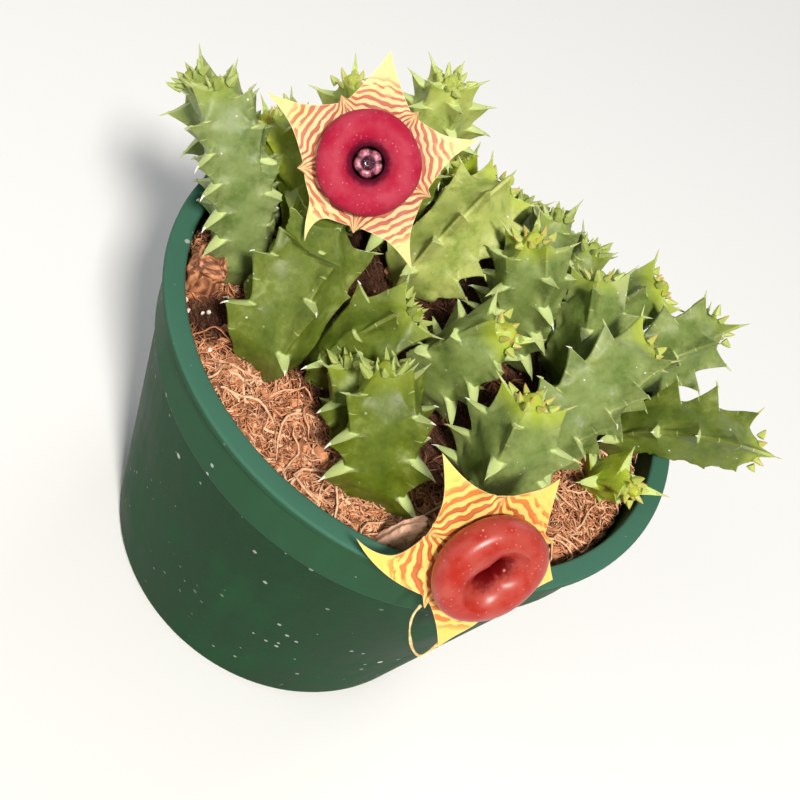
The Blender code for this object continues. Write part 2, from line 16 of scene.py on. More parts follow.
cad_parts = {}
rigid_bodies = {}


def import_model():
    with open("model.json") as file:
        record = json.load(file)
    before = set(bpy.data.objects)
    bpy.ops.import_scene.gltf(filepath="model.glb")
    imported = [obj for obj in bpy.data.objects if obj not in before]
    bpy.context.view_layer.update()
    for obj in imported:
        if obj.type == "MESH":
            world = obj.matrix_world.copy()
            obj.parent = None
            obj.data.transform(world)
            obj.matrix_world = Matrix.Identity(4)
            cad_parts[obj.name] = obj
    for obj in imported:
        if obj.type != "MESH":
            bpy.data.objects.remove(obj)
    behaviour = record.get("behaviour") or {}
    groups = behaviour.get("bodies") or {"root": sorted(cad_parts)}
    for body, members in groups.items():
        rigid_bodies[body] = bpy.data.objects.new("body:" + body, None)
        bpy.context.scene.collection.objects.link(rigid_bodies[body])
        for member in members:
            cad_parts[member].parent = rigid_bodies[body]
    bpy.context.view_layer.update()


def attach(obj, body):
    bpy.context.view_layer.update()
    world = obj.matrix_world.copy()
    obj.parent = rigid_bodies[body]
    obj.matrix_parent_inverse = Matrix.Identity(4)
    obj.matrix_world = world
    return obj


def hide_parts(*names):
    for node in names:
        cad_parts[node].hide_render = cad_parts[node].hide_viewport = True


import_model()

# The studio: a camera above the front of the pot, rolled as the pot was held, a pale floor
# and three soft lights. The key light stands high in front, a little to the right.
MM = 0.001
CAMERA_PLACE = (0.0, -176.9, 239.2)
CAMERA_RIGHT = Vector((0.79283, 0.43242, 0.42946))
CAMERA_DOWN = Vector((0.60940, -0.57070, -0.55040))
CAMERA_LENS = 57.47
FLOOR_HALF = 3.0
FLOOR_COLOUR = (0.80, 0.80, 0.79, 1.0)
Lamp = namedtuple("Lamp", "name place size power colour")
LAMPS = (
    Lamp("key", (0.30, -0.76, 1.04), 0.16, 20.5, (1.0, 0.96, 0.90)),
    Lamp("fill", (-1.00, -0.80, 0.80), 1.20, 4.6, (0.97, 0.98, 0.98)),
    Lamp("back", (0.20, 1.10, 0.90), 0.90, 5.0, (1.0, 1.0, 1.0)),
)
SKY_COLOUR = (0.93, 0.96, 1.0, 1.0)
SKY_STRENGTH = 0.21
LOOK_AT = Vector((0.0, 0.0, 0.07))

camera = bpy.data.objects.new("camera", bpy.data.cameras.new("camera"))
bpy.context.scene.collection.objects.link(camera)
camera.data.sensor_width = 36.0
camera.data.lens = CAMERA_LENS
camera.data.clip_start = 0.01
turn = Matrix((CAMERA_RIGHT, -CAMERA_DOWN, CAMERA_DOWN.cross(CAMERA_RIGHT))).transposed()
camera.matrix_world = Matrix.Translation(Vector(CAMERA_PLACE) * MM) @ turn.to_4x4()
bpy.context.scene.camera = camera

for lamp in LAMPS:
    light = bpy.data.lights.new(lamp.name, "AREA")
    light.size = lamp.size
    light.energy = lamp.power
    light.color = lamp.colour
    stand = bpy.data.objects.new(lamp.name, light)
    bpy.context.scene.collection.objects.link(stand)
    stand.location = lamp.place
    stand.rotation_euler = (LOOK_AT - stand.location).to_track_quat("-Z", "Y").to_euler()

world = bpy.data.worlds.new("studio")
world.use_nodes = True
world.node_tree.nodes["Background"].inputs["Color"].default_value = SKY_COLOUR
world.node_tree.nodes["Background"].inputs["Strength"].default_value = SKY_STRENGTH
bpy.context.scene.world = world
bpy.context.scene.view_settings.view_transform = "Standard"


def new_piece(name, vertices, faces, material, smooth_angle=None):
    """A mesh object from points in millimetres and lists of corners."""
    mesh = bpy.data.meshes.new(name)
    mesh.from_pydata(np.asarray(vertices) * MM, [], faces)
    mesh.update()
    mesh.shade_smooth()
    if smooth_angle is not None:
        mesh.set_sharp_from_angle(angle=math.radians(smooth_angle))
    if material:
        mesh.materials.append(material)
    piece = bpy.data.objects.new(name, mesh)
    bpy.context.scene.collection.objects.link(piece)
    return piece


class Wiring:
    """Adds nodes to a tree in a line or two each: sockets take numbers, colours or links."""

    def __init__(self, tree):
        self.tree = tree

    def node(self, kind, settings=None, **sockets):
        made = self.tree.nodes.new(f"ShaderNode{kind}")
        for name, value in (settings or {}).items():
            setattr(made, name, value)
        for name, value in sockets.items():
            self.feed(made, name, value)
        return made

    def feed(self, made, name, value):
        spot = int(name[1:]) if name[0] == "_" else name.replace("_", " ")
        if isinstance(value, bpy.types.NodeSocket):
            self.tree.links.new(value, made.inputs[spot])
        else:
            made.inputs[spot].default_value = value

    def math(self, operation, first, second=0.0, clamp=False):
        settings = {"operation": operation, "use_clamp": clamp}
        return self.node("Math", settings, _0=first, _1=second).outputs[0]

    def mix(self, share, first, second, how="MIX"):
        made = self.node("Mix", {"data_type": "RGBA", "blend_type": how}, _0=share, _6=first,
                         _7=second)
        return made.outputs[2]

    def step(self, value, low, high, start=0.0, end=1.0):
        """A smooth step from start to end as value goes from low to high."""
        settings = {"interpolation_type": "SMOOTHSTEP"}
        return self.node("MapRange", settings, Value=value, From_Min=low, From_Max=high,
                         To_Min=start, To_Max=end).outputs[0]

    def noise(self, vector, scale, detail=2.0, roughness=0.5, distortion=0.0):
        return self.node("TexNoise", Vector=vector, Scale=scale, Detail=detail,
                         Roughness=roughness, Distortion=distortion).outputs["Fac"]

    def attribute(self, name, output="Fac"):
        return self.node("Attribute", {"attribute_name": name}).outputs[output]

    def place(self):
        return self.node("TexCoord").outputs["Object"]

    def group(self, tree, **sockets):
        made = self.tree.nodes.new("ShaderNodeGroup")
        made.node_tree = tree
        for name, value in sockets.items():
            self.feed(made, name, value)
        return made


def new_material(name, **constants):
    """A Principled material. Constants such as Specular_IOR_Level go on the shader itself."""
    material = bpy.data.materials.new(name)
    material.use_nodes = True
    wiring = Wiring(material.node_tree)
    shader = material.node_tree.nodes["Principled BSDF"]
    for key, value in constants.items():
        wiring.feed(shader, key, value)
    return material, wiring, shader


floor_material, wires, surface = new_material("floor_paper", Roughness=0.9)
wires.feed(surface, "Base_Color", FLOOR_COLOUR)
corner = FLOOR_HALF / MM
floor = new_piece("floor", [(-corner, -corner, 0), (corner, -corner, 0), (corner, corner, 0),
                            (-corner, corner, 0)], [(0, 1, 2, 3)], floor_material)

# The pot: a thin tapered shell blown in green plastic, satin, with a flat lip and a straight
# band under it. It is a little scuffed, and white dust from hard water sits on it. The flat top
# of the lip is painted lighter teal as sheen.
POT_HEIGHT = 77.0
LIP_RADIUS = 52.5
LIP_WIDTH = 3.9
LIP_DEPTH = 1.6
BAND_RADIUS = 50.2
BAND_DEPTH = 13.7
BAND_STEP = 0.8
BASE_RADIUS = 39.5
BASE_ROUND = 2.5
WALL = 1.6
POT_SIDES = 160
DRAIN_HOLES = 6
DRAIN_RADIUS = 3.5
DRAIN_CIRCLE = 28.0
POT_GREEN = (0.006, 0.037, 0.011, 1.0)
POT_WORN = (0.014, 0.064, 0.024, 1.0)
BAND_GREEN = (0.040, 0.115, 0.060, 1.0)
LIT_LIP_TEAL = (0.060, 0.165, 0.118, 1.0)
DUST = (0.72, 0.74, 0.70, 1.0)


def dust_group():
    """Small pale specks of dried water and grit, as a mask."""
    tree = bpy.data.node_groups.new("dust_specks", "ShaderNodeTree")
    interface = tree.interface
    for name, start in (("Scale", 900.0), ("Amount", 0.3)):
        socket = interface.new_socket(name, in_out="INPUT", socket_type="NodeSocketFloat")
        socket.default_value = start
    interface.new_socket("Mask", in_out="OUTPUT", socket_type="NodeSocketFloat")
    wires = Wiring(tree)
    given = tree.nodes.new("NodeGroupInput")
    put_out = tree.nodes.new("NodeGroupOutput")
    place = wires.place()
    cells = wires.node("TexVoronoi", {"feature": "F1"}, Vector=place, Scale=given.outputs[0])
    chance = wires.node("SeparateColor", Color=cells.outputs["Color"]).outputs[0]
    size = wires.math("MULTIPLY", wires.math("SUBTRACT", chance, 0.55), given.outputs[1])
    near = wires.math("SUBTRACT", size, cells.outputs["Distance"])
    tree.links.new(wires.step(near, 0.0, 0.04), put_out.inputs[0])
    return tree


DUST_SPECKS = dust_group()


def wall_inside(height):
    """Inner radius of the pot at a height."""
    step = POT_HEIGHT - BAND_DEPTH
    if height >= step:
        return BAND_RADIUS - WALL
    top = BAND_RADIUS - BAND_STEP - WALL
    bottom = BASE_RADIUS - WALL
    return bottom + (top - bottom) * max(height, 0.0) / step


def rounded(start, corner, end, radius, steps=5):
    """Points that round off a corner of a profile."""
    start, corner, end = (np.array(point, float) for point in (start, corner, end))
    before = (start - corner) / np.linalg.norm(start - corner) * radius
    after = (end - corner) / np.linalg.norm(end - corner) * radius
    share = np.linspace(0.0, 1.0, steps)[:, None]
    return [tuple(point) for point in corner + before * (1 - share) ** 2 + after * share ** 2]


def pot_profile():
    """Half of the pot's section, from the middle of its floor over the lip to its underside."""
    step = POT_HEIGHT - BAND_DEPTH
    lip = POT_HEIGHT - LIP_DEPTH
    lip_in = LIP_RADIUS - LIP_WIDTH
    corners = [
        ((0.0, WALL), 0.0), ((wall_inside(WALL), WALL), 1.0),
        ((wall_inside(step - 1.0), step - 1.0), 0.4), ((wall_inside(step), step), 0.4),
        ((lip_in, POT_HEIGHT), 0.7), ((LIP_RADIUS, POT_HEIGHT), 0.6), ((LIP_RADIUS, lip), 0.4),
        ((BAND_RADIUS, lip - 0.3), 0.5), ((BAND_RADIUS, step), 0.5),
        ((BAND_RADIUS - BAND_STEP, step - 0.8), 0.4), ((BASE_RADIUS, BASE_ROUND), 0.0),
    ]
    points = []
    for i, (corner, radius) in enumerate(corners):
        if radius == 0.0:
            points.append(corner)
        else:
            points += rounded(corners[i - 1][0], corner, corners[i + 1][0], radius)
    for i in range(1, 7):
        angle = math.radians(15 * i)
        points.append((BASE_RADIUS - BASE_ROUND * (1 - math.cos(angle)),
                       BASE_ROUND * (1 - math.sin(angle))))
    return points + [(0.0, 0.0)]


def turned(name, profile, sides, material, smooth_angle=35):
    """A closed solid turned round Z, from a profile that starts and ends on the axis."""
    angles = np.arange(sides) * math.tau / sides
    inner = np.array(profile[1:-1])
    x = inner[:, :1] * np.cos(angles)
    y = inner[:, :1] * np.sin(angles)
    z = np.repeat(inner[:, 1:], sides, axis=1)
    vertices = np.stack([x, y, z], axis=2).reshape(-1, 3)
    first, last = len(vertices), len(vertices) + 1
    vertices = np.vstack([vertices, (0, 0, profile[0][1]), (0, 0, profile[-1][1])])
    faces = []
    for j in range(sides):
        k = (j + 1) % sides
        faces.append((first, j, k))
        faces.append((last, (len(inner) - 1) * sides + k, (len(inner) - 1) * sides + j))
        for i in range(len(inner) - 1):
            row, after = i * sides, (i + 1) * sides
            faces.append((row + j, after + j, after + k, row + k))
    return new_piece(name, vertices, faces, material, smooth_angle)


def pot_material():
    material, wires, surface = new_material("green_pot_plastic", Specular_IOR_Level=0.05)
    place = wires.place()
    x, y, z = wires.node("SeparateXYZ", Vector=place).outputs[:]
    cloudy = wires.noise(place, 45.0, 4.0, 0.6)
    streaks = wires.noise(wires.node("VectorMath", {"operation": "MULTIPLY"}, _0=place,
                                     _1=(260.0, 260.0, 9.0)).outputs[0], 1.0, 3.0)
    worn = wires.step(wires.math("ADD", wires.math("MULTIPLY", cloudy, 0.6),
                                 wires.math("MULTIPLY", streaks, 0.4)), 0.42, 0.68)
    lip = wires.step(z, (POT_HEIGHT - 0.9) * MM, (POT_HEIGHT - 0.2) * MM)
    colour = wires.mix(worn, POT_GREEN, POT_WORN)
    band = wires.step(z, (POT_HEIGHT - BAND_DEPTH - 0.6) * MM, (POT_HEIGHT - BAND_DEPTH) * MM)
    colour = wires.mix(wires.math("MULTIPLY", band, 0.45), colour, BAND_GREEN)
    # Painted sheen: the flat top of the lip is lighter teal, as light falls on it.
    colour = wires.mix(wires.math("MULTIPLY", lip, 0.7), colour, LIT_LIP_TEAL)
    fine = wires.group(DUST_SPECKS, Scale=420.0, Amount=0.50).outputs[0]
    coarse = wires.group(DUST_SPECKS, Scale=130.0, Amount=0.22).outputs[0]
    spots = wires.math("MAXIMUM", wires.math("MULTIPLY", fine, 0.45), coarse)
    patchy = wires.step(wires.noise(place, 30.0, 3.0), 0.38, 0.62)
    spots = wires.math("MULTIPLY", spots, patchy)
    wires.feed(surface, "Base_Color", wires.mix(spots, colour, DUST))
    rough = wires.math("ADD", wires.math("MULTIPLY", worn, 0.16), 0.46)
    wires.feed(surface, "Roughness", wires.math("ADD", rough, wires.math("MULTIPLY", spots, 0.4)))
    grain = wires.math("ADD", wires.noise(place, 1400.0, 2.0),
                       wires.math("MULTIPLY", wires.noise(place, 160.0, 2.0), 1.6))
    bump = wires.node("Bump", Strength=0.22, Distance=0.00012, Height=grain)
    wires.feed(surface, "Normal", bump.outputs[0])
    return material


pot = turned("pot_shell", pot_profile(), POT_SIDES, pot_material())
drill = bpy.data.collections.new("drain_drills")
bpy.context.scene.collection.children.link(drill)
for hole in range(DRAIN_HOLES):
    angle = math.tau * hole / DRAIN_HOLES
    bit = bmesh.new()
    spot = Vector((DRAIN_CIRCLE * math.cos(angle), DRAIN_CIRCLE * math.sin(angle), WALL / 2))
    bmesh.ops.create_cone(bit, cap_ends=True, segments=32, radius1=DRAIN_RADIUS * MM,
                          radius2=DRAIN_RADIUS * MM, depth=2 * WALL * MM,
                          matrix=Matrix.Translation(spot * MM))
    bit_mesh = bpy.data.meshes.new(f"drain_{hole}")
    bit.to_mesh(bit_mesh)
    bit.free()
    drill.objects.link(bpy.data.objects.new(f"drain_{hole}", bit_mesh))
cut = pot.modifiers.new("drains", "BOOLEAN")
cut.operand_type = "COLLECTION"
cut.collection = drill
cut.solver = "EXACT"
drilled = bpy.data.meshes.new_from_object(
    pot.evaluated_get(bpy.context.evaluated_depsgraph_get()))
pot.modifiers.clear()
pot.data = drilled
for bit in list(drill.objects):
    bpy.data.objects.remove(bit)
bpy.data.collections.remove(drill)
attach(pot, "root")
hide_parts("pot")

# The soil: coir and composted bark, filled to a little under the lip. It is a dark bed with short
# coir fibres matted over it, paler rootlets, crumbs of bark and a little perlite. One soaked
# spot is darker, and the middle among the stems is painted near black as shade, with fewer and
# darker fibres.
SOIL_LEVEL = 71.0
LONG_WAVE = 0.35
SHORT_WAVE = 0.25
Mound = namedtuple("Mound", "x y radius height")
MOUNDS = (
    Mound(-43.0, -8.0, 7.0, 3.0),
    Mound(-30.0, -30.0, 12.0, 1.2),
    Mound(0.0, 8.0, 16.0, 1.5),
    Mound(40.0, -14.0, 8.0, 1.2),
)
CHIP_PLACE = (15.2, -42.6)
CHIP_PATCH = 5.5
CHIP_PATCH_EDGE = 4.4
SOIL_GAP = 0.3
SOIL_SIDES = 220
SOIL_ROWS = 70
SOIL_ROUGH = 0.9
COIR_DARK = (0.16, 0.056, 0.026, 1.0)
COIR_BROWN = (0.72, 0.30, 0.14, 1.0)
COIR_TAN = (0.96, 0.61, 0.38, 1.0)
PERLITE = (0.85, 0.83, 0.78, 1.0)
FIBRES = 9400
ROOTLETS = 150
CRUMBS = 800
PERLITE_GRAINS = 24
PERLITE_CLUSTER = (-37.3, -27.3)
CLUSTER_GRAINS = 6
# WET_SPOT and WET_RADIUS give a soaked spot; inside OPEN_RADIUS round the clump of stems the soil gets painted
# shade, near black, and its fibres are darkened.
WET_SPOT = (-32.8, -24.8)
WET_RADIUS = 7.6
WET_AND_SHADE_DARKENING = 0.9
WET_AND_SHADE_BROWN = (0.030, 0.011, 0.007, 1.0)
OPEN_RADIUS = 36.0
CLUMP_X = 0.0
CLUMP_Y = 4.0
CLOD_PLACE = (-39.6, -20.8, 74.4)
CLOD_HALF = (3.2, 3.3, 5.0)
CLOD_BOXY = 0.46
CLOD_TURN = 28.0
CLOD_SHADE = 0.20
draw = np.random.default_rng(11)


def soil_height(x, y):
    """Height of the soil over the pot's base: level, with waves, mounds and a flat patch."""
    height = SOIL_LEVEL + LONG_WAVE * np.sin(0.33 * x + 1.0) * np.cos(0.29 * y)
    height = height + SHORT_WAVE * np.sin(0.61 * x - 0.43 * y)
    for mound in MOUNDS:
        reach = ((x - mound.x) ** 2 + (y - mound.y) ** 2) / mound.radius ** 2
        height = height + mound.height * np.exp(-reach)
    beside = np.hypot(x - CHIP_PLACE[0], y - CHIP_PLACE[1]) - CHIP_PATCH
    keep = np.clip(beside / CHIP_PATCH_EDGE, 0.0, 1.0)
    return SOIL_LEVEL + (height - SOIL_LEVEL) * keep


def set_mask(piece, name, values):
    """A number for each vertex, which a material reads by name."""
    mask = piece.data.attributes.new(name, "FLOAT", "POINT")
    mask.data.foreach_set("value", np.asarray(values, np.float32))


def crumbly(points, size, height):
    """Fractal noise at each point, in millimetres."""
    return np.array([noise.fractal(Vector(point) / size, 0.9, 2.1, 4) for point in points]) * height


def soil_bed():
    """The filling as one closed body: a rough top, sides along the pot, and a flat bottom."""
    edge = wall_inside(POT_HEIGHT) - SOIL_GAP
    angles = np.arange(SOIL_SIDES) * math.tau / SOIL_SIDES
    spread = np.column_stack([np.cos(angles), np.sin(angles)])
    rows = []
    for radius, height in ((wall_inside(0.0) - SOIL_GAP, WALL + SOIL_GAP), (edge - 0.8, 62.0)):
        rows.append(np.column_stack([spread * radius, np.full(SOIL_SIDES, height)]))
    for share in np.linspace(1.0, 0.01, SOIL_ROWS) ** 0.8:
        flat = spread * edge * share
        top = soil_height(flat[:, 0], flat[:, 1])
        points = np.column_stack([flat, top])
        points[:, 2] += crumbly(points, 3.2, SOIL_ROUGH) + crumbly(points, 0.9, 0.4) - 0.5
        points[:, 2] -= 1.2 * np.clip(share * 8.0 - 7.0, 0.0, 1.0)
        rows.append(points)
    bed = closed_rows("soil_bed", rows, soil_material())
    spots = np.concatenate(rows + [rows[0][:1], rows[-1][:1]])
    # Mask of the soaked spot and of the painted shade in the middle.
    set_mask(bed, "wet_and_shade", wetness_and_shade(spots))
    return bed


def wetness_and_shade(places):
    """How dark the soil is painted: one soaked spot, and painted shade over the middle among the stems."""
    spot = np.hypot(places[:, 0] - WET_SPOT[0], places[:, 1] - WET_SPOT[1]) / WET_RADIUS
    inside = OPEN_RADIUS - np.hypot(places[:, 0] - CLUMP_X, places[:, 1] - CLUMP_Y)
    return np.maximum(np.exp(-spot ** 4), 0.96 * np.clip(inside / 5.0, 0.0, 1.0))


def closed_rows(name, rows, material, smooth_angle=None):
    """Closes a stack of equal rings of points with a fan at each end."""
    sides = len(rows[0])
    vertices = np.concatenate(rows + [rows[0].mean(axis=0)[None], rows[-1].mean(axis=0)[None]])
    first, last = len(vertices) - 2, len(vertices) - 1
    end = (len(rows) - 1) * sides
    faces = []
    for j in range(sides):
        k = (j + 1) % sides
        faces.append((first, k, j))
        faces.append((last, end + j, end + k))
        for i in range(len(rows) - 1):
            low = i * sides
            faces.append((low + j, low + k, low + sides + k, low + sides + j))
    return new_piece(name, vertices, faces, material, smooth_angle)


def soil_material():
    """Dark crumb between dry red-brown fibres; a soaked spot and painted shade in the middle are near black."""
    material, wires, surface = new_material("coir_soil", Roughness=0.95,
                                            Specular_IOR_Level=0.15)
    place = wires.place()
    clods = wires.noise(place, 260.0, 5.0, 0.65)
    strands = wires.node("TexWave", {"bands_direction": "DIAGONAL"}, Vector=place, Scale=420.0,
                         Distortion=9.0, Detail=3.0, Detail_Scale=2.2).outputs["Fac"]
    colour = wires.mix(wires.step(clods, 0.40, 0.66), COIR_DARK, COIR_BROWN)
    colour = wires.mix(wires.math("MULTIPLY", wires.step(strands, 0.72, 0.95), 0.5), colour,
                       COIR_TAN)
    # Painted shade: the middle among the stems and the soaked spot go near black.
    colour = wires.mix(wires.math("MULTIPLY", wires.attribute("wet_and_shade"), 0.92), colour, WET_AND_SHADE_BROWN)
    wires.feed(surface, "Base_Color", colour)
    bump = wires.node("Bump", Strength=0.9, Distance=0.0006,
                      Height=wires.math("ADD", clods, wires.math("MULTIPLY", strands, 0.4)))
    wires.feed(surface, "Normal", bump.outputs[0])
    return material


def fibre_material():
    """Dry coir: each fibre has its own shade, from red-brown to tan."""
    material, wires, surface = new_material("coir_fibre", Roughness=0.62,
                                            Specular_IOR_Level=0.35)
    shade = wires.attribute("shade")
    colour = wires.mix(wires.step(shade, 0.0, 0.45), COIR_DARK, COIR_BROWN)
    colour = wires.mix(wires.step(shade, 0.45, 1.0), colour, COIR_TAN)
    along = wires.noise(wires.place(), 900.0, 3.0)
    colour = wires.mix(wires.step(along, 0.42, 0.62, 0.0, 0.35), colour, COIR_DARK)
    wires.feed(surface, "Base_Color", colour)
    bump = wires.node("Bump", Strength=0.4, Distance=0.0001, Height=along)
    wires.feed(surface, "Normal", bump.outputs[0])
    return material


def open_places(count, margin=1.0):
    """Random places on the soil inside the pot, fewer at the soaked spot and in the painted shade."""
    tries = 3 * count
    reach = (wall_inside(POT_HEIGHT) - SOIL_GAP - margin) * np.sqrt(draw.random(tries))
    angle = draw.random(tries) * math.tau
    places = np.column_stack([reach * np.cos(angle), reach * np.sin(angle)])
    return places[draw.random(tries) > wetness_and_shade(places)][:count]


def strands(name, places, lengths, thickness, shades, sides, joints, material, lift, bow):
    """Many thin bent tubes that lie on the soil, pointed at both ends, in one mesh."""
    share = np.linspace(-0.5, 0.5, joints)
    turns = np.arange(sides) * math.tau / sides
    vertices, faces, shade = [], [], []
    # Fibres at the soaked spot and in the painted shade of the middle are darker.
    shades = shades * (1.0 - WET_AND_SHADE_DARKENING * wetness_and_shade(places))
    for place, length, thick, tint in zip(places, lengths, thickness, shades):
        heading = draw.random() * math.tau
        across = heading + math.pi / 2
        bend = draw.normal(0.0, bow) * length
        wiggle = draw.normal(0.0, bow / 2) * length
        x = place[0] + share * length * math.cos(heading)
        y = place[1] + share * length * math.sin(heading)
        aside = bend * (share ** 2 - 0.08) * 4 + wiggle * np.sin(share * math.tau * 1.5)
        x = x + aside * math.cos(across)
        y = y + aside * math.sin(across)
        out = np.hypot(x, y)
        keep = np.minimum(1.0, (wall_inside(POT_HEIGHT) - SOIL_GAP - 0.6) / np.maximum(out, 1.0))
        x, y = x * keep, y * keep
        z = soil_height(x, y) + lift * draw.random() + draw.normal(0.0, 0.12) * length * share
        z = z - draw.random() * 1.6 * (share * 2) ** 2
        line = np.column_stack([x, y, z])
        ahead = np.gradient(line, axis=0)
        ahead /= np.linalg.norm(ahead, axis=1)[:, None]
        side = np.cross(ahead, (0.0, 0.0, 1.0))
        side /= np.linalg.norm(side, axis=1)[:, None]
        up = np.cross(side, ahead)
        fat = thick * np.sqrt(np.clip(1.0 - (2.0 * share) ** 4, 0.04, 1.0))
        start = len(vertices) * sides * joints
        ring = (side[:, None] * np.cos(turns)[None, :, None]
                + up[:, None] * np.sin(turns)[None, :, None])
        vertices.append((line[:, None] + ring * fat[:, None, None]).reshape(-1, 3))
        shade.append(np.full(sides * joints, tint))
        for i in range(joints - 1):
            for j in range(sides):
                k = (j + 1) % sides
                low = start + i * sides
                faces.append((low + j, low + k, low + sides + k, low + sides + j))
        faces.append(tuple(start + j for j in reversed(range(sides))))
        faces.append(tuple(start + (joints - 1) * sides + j for j in range(sides)))
    piece = new_piece(name, np.concatenate(vertices), faces, material)
    set_mask(piece, "shade", np.concatenate(shade))
    return piece


def grains(name, places, sizes, shades, material, sunk):
    """Crumbs with a random lumpy form, each a small closed body, in one mesh."""
    ball = bmesh.new()
    bmesh.ops.create_icosphere(ball, subdivisions=1, radius=1.0)
    form = np.array([corner.co for corner in ball.verts])
    corners = [tuple(corner.index for corner in face.verts) for face in ball.faces]
    ball.free()
    vertices, faces, shade = [], [], []
    for place, size, tint in zip(places, sizes, shades):
        lumpy = form * (1.0 + draw.normal(0.0, 0.16, (len(form), 1)))
        lumpy = lumpy * draw.uniform(0.5, 1.0, 3) * size
        turn = Matrix.Rotation(draw.random() * math.tau, 3, "Z")
        turn = turn @ Matrix.Rotation(draw.random() * math.tau, 3, "X")
        lumpy = lumpy @ np.array(turn)
        height = soil_height(*place) + size * (0.5 - sunk)
        start = len(vertices) * len(form)
        vertices.append(lumpy + (*place, height))
        faces += [tuple(start + corner for corner in face) for face in corners]
        shade.append(np.full(len(form), tint))
    piece = new_piece(name, np.concatenate(vertices), faces, material, 30)
    set_mask(piece, "shade", np.concatenate(shade))
    return piece


def clod():
    """A block of pressed coir that stands in the soil by the wall."""
    ball = bmesh.new()
    bmesh.ops.create_icosphere(ball, subdivisions=5, radius=1.0)
    form = np.array([corner.co for corner in ball.verts])
    faces = [tuple(corner.index for corner in face.verts) for face in ball.faces]
    ball.free()
    points = np.sign(form) * np.abs(form) ** CLOD_BOXY * CLOD_HALF
    points = points + form * (crumbly(points, 2.4, 0.7) + crumbly(points, 0.6, 0.32))[:, None]
    points = points @ np.array(Matrix.Rotation(math.radians(CLOD_TURN), 3, "Z")).T
    block = new_piece("coir_clod", points + np.array(CLOD_PLACE), faces, FIBRE_MATERIAL)
    set_mask(block, "shade", CLOD_SHADE + crumbly(points, 0.9, 0.6))
    return block


soil = soil_bed()
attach(soil, "root")
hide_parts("soil")
FIBRE_MATERIAL = fibre_material()
fibres = strands("coir_fibres", open_places(FIBRES), draw.uniform(1.8, 6.2, FIBRES),
                 draw.uniform(0.09, 0.25, FIBRES), draw.beta(2.1, 1.7, FIBRES), 3, 4,
                 FIBRE_MATERIAL, 1.3, 0.16)
rootlets = strands("rootlets", open_places(ROOTLETS), draw.uniform(8.0, 20.0, ROOTLETS),
                   draw.uniform(0.16, 0.30, ROOTLETS), draw.uniform(0.75, 1.0, ROOTLETS), 4, 9,
                   FIBRE_MATERIAL, 1.8, 0.22)
crumbs = grains("bark_crumbs", open_places(CRUMBS, 1.5), draw.gamma(3.0, 0.16, CRUMBS) + 0.25,
                draw.beta(2.0, 3.0, CRUMBS), FIBRE_MATERIAL, 0.2)
perlite_white, wires, surface = new_material("perlite", Roughness=0.9)
wires.feed(surface, "Base_Color", wires.mix(wires.step(wires.noise(wires.place(), 1200.0, 3.0), 0.35,
                                                       0.6), PERLITE, COIR_TAN))
cluster = draw.normal(0.0, 1.2, (CLUSTER_GRAINS, 2)) + PERLITE_CLUSTER
spread = open_places(PERLITE_GRAINS, 2.0)
perlite = grains("perlite_grains", np.vstack([cluster, spread]),
                 np.append(draw.uniform(0.4, 0.9, CLUSTER_GRAINS),
                           draw.uniform(0.3, 0.7, PERLITE_GRAINS)),
                 np.zeros(CLUSTER_GRAINS + PERLITE_GRAINS), perlite_white, -0.6)
for piece in (fibres, rootlets, crumbs, perlite, clod()):
    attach(piece, "root")

# The stems: fleshy and satin, with four or five ribs. Each rib is a thin wedge cut into teeth,
# so that a tooth has a long lower slope and a pale flat ledge on top, and ends in a point.
# Old teeth hang and keep a dry white tip, young ones stand up round the growing point.
FOOT_DEPTH = 2.0
FOOT_SHARE = 0.58
FOOT_SWELL = 5.0
TAPER_LENGTH = 9.5
TAPER = 0.68
BEND_RADIUS = 13.0
AXIS_SAMPLES = 17
TOOTH_PITCH = 6.2
TOOTH_LENGTH = 4.4
TOOTH_REACH = 0.95
PITCHES = {"stem_01": 5.0, "stem_05": 7.4, "stem_10": 5.2, "stem_18": 4.8, "stem_19": 4.6,
           "stem_20": 4.6, "stem_21": 4.8, "stem_22": 4.8, "stem_23": 4.8, "stem_24": 4.8}
TOOTH_SWEEP = 1.45
TOOTH_HANG = -1.1
TIP_TOOTH_LIFT = 2.7
TIP_TOOTH_SHARE = 0.72
TOOTH_TURN = 15.0
TOOTH_BLUNT = 0.32
CROWDING = 0.38
CROWDED_LENGTH = 6.0
TUBERCLE = 0.09
TUBERCLE_LAG = 0.9
TOOTH_BLEND = 0.7
RIDGE_TURN = 52.0
RIDGE_SHARE = 0.92
FACE_SHARE = 0.90
GROOVE_SHARE = 0.72
YOUNG_LENGTH = 10.0
LOWEST_TOOTH = 4.5
HIGHEST_TOOTH = 1.0
CAP_HEIGHT = 2.2
TOOTH_ROWS = (0.0, 0.05, 0.14, 0.28, 0.42, 0.55, 0.66, 0.76, 0.85, 0.92, 0.97)
RIB_TURNS = (0.0, 0.028, 0.07, 0.13, 0.20, 0.29, 0.40, 0.55, 0.75)
STEM_GAP = 0.9
TOUCH = 0.5
SOIL_CLEAR = 0.5
LIP_CLEAR = 2.2
LIP_SLOPE = 0.2
OUTER_SLOPE = 0.35
SPINE_LENGTH = 1.15
SPINE_THICKNESS = 0.25
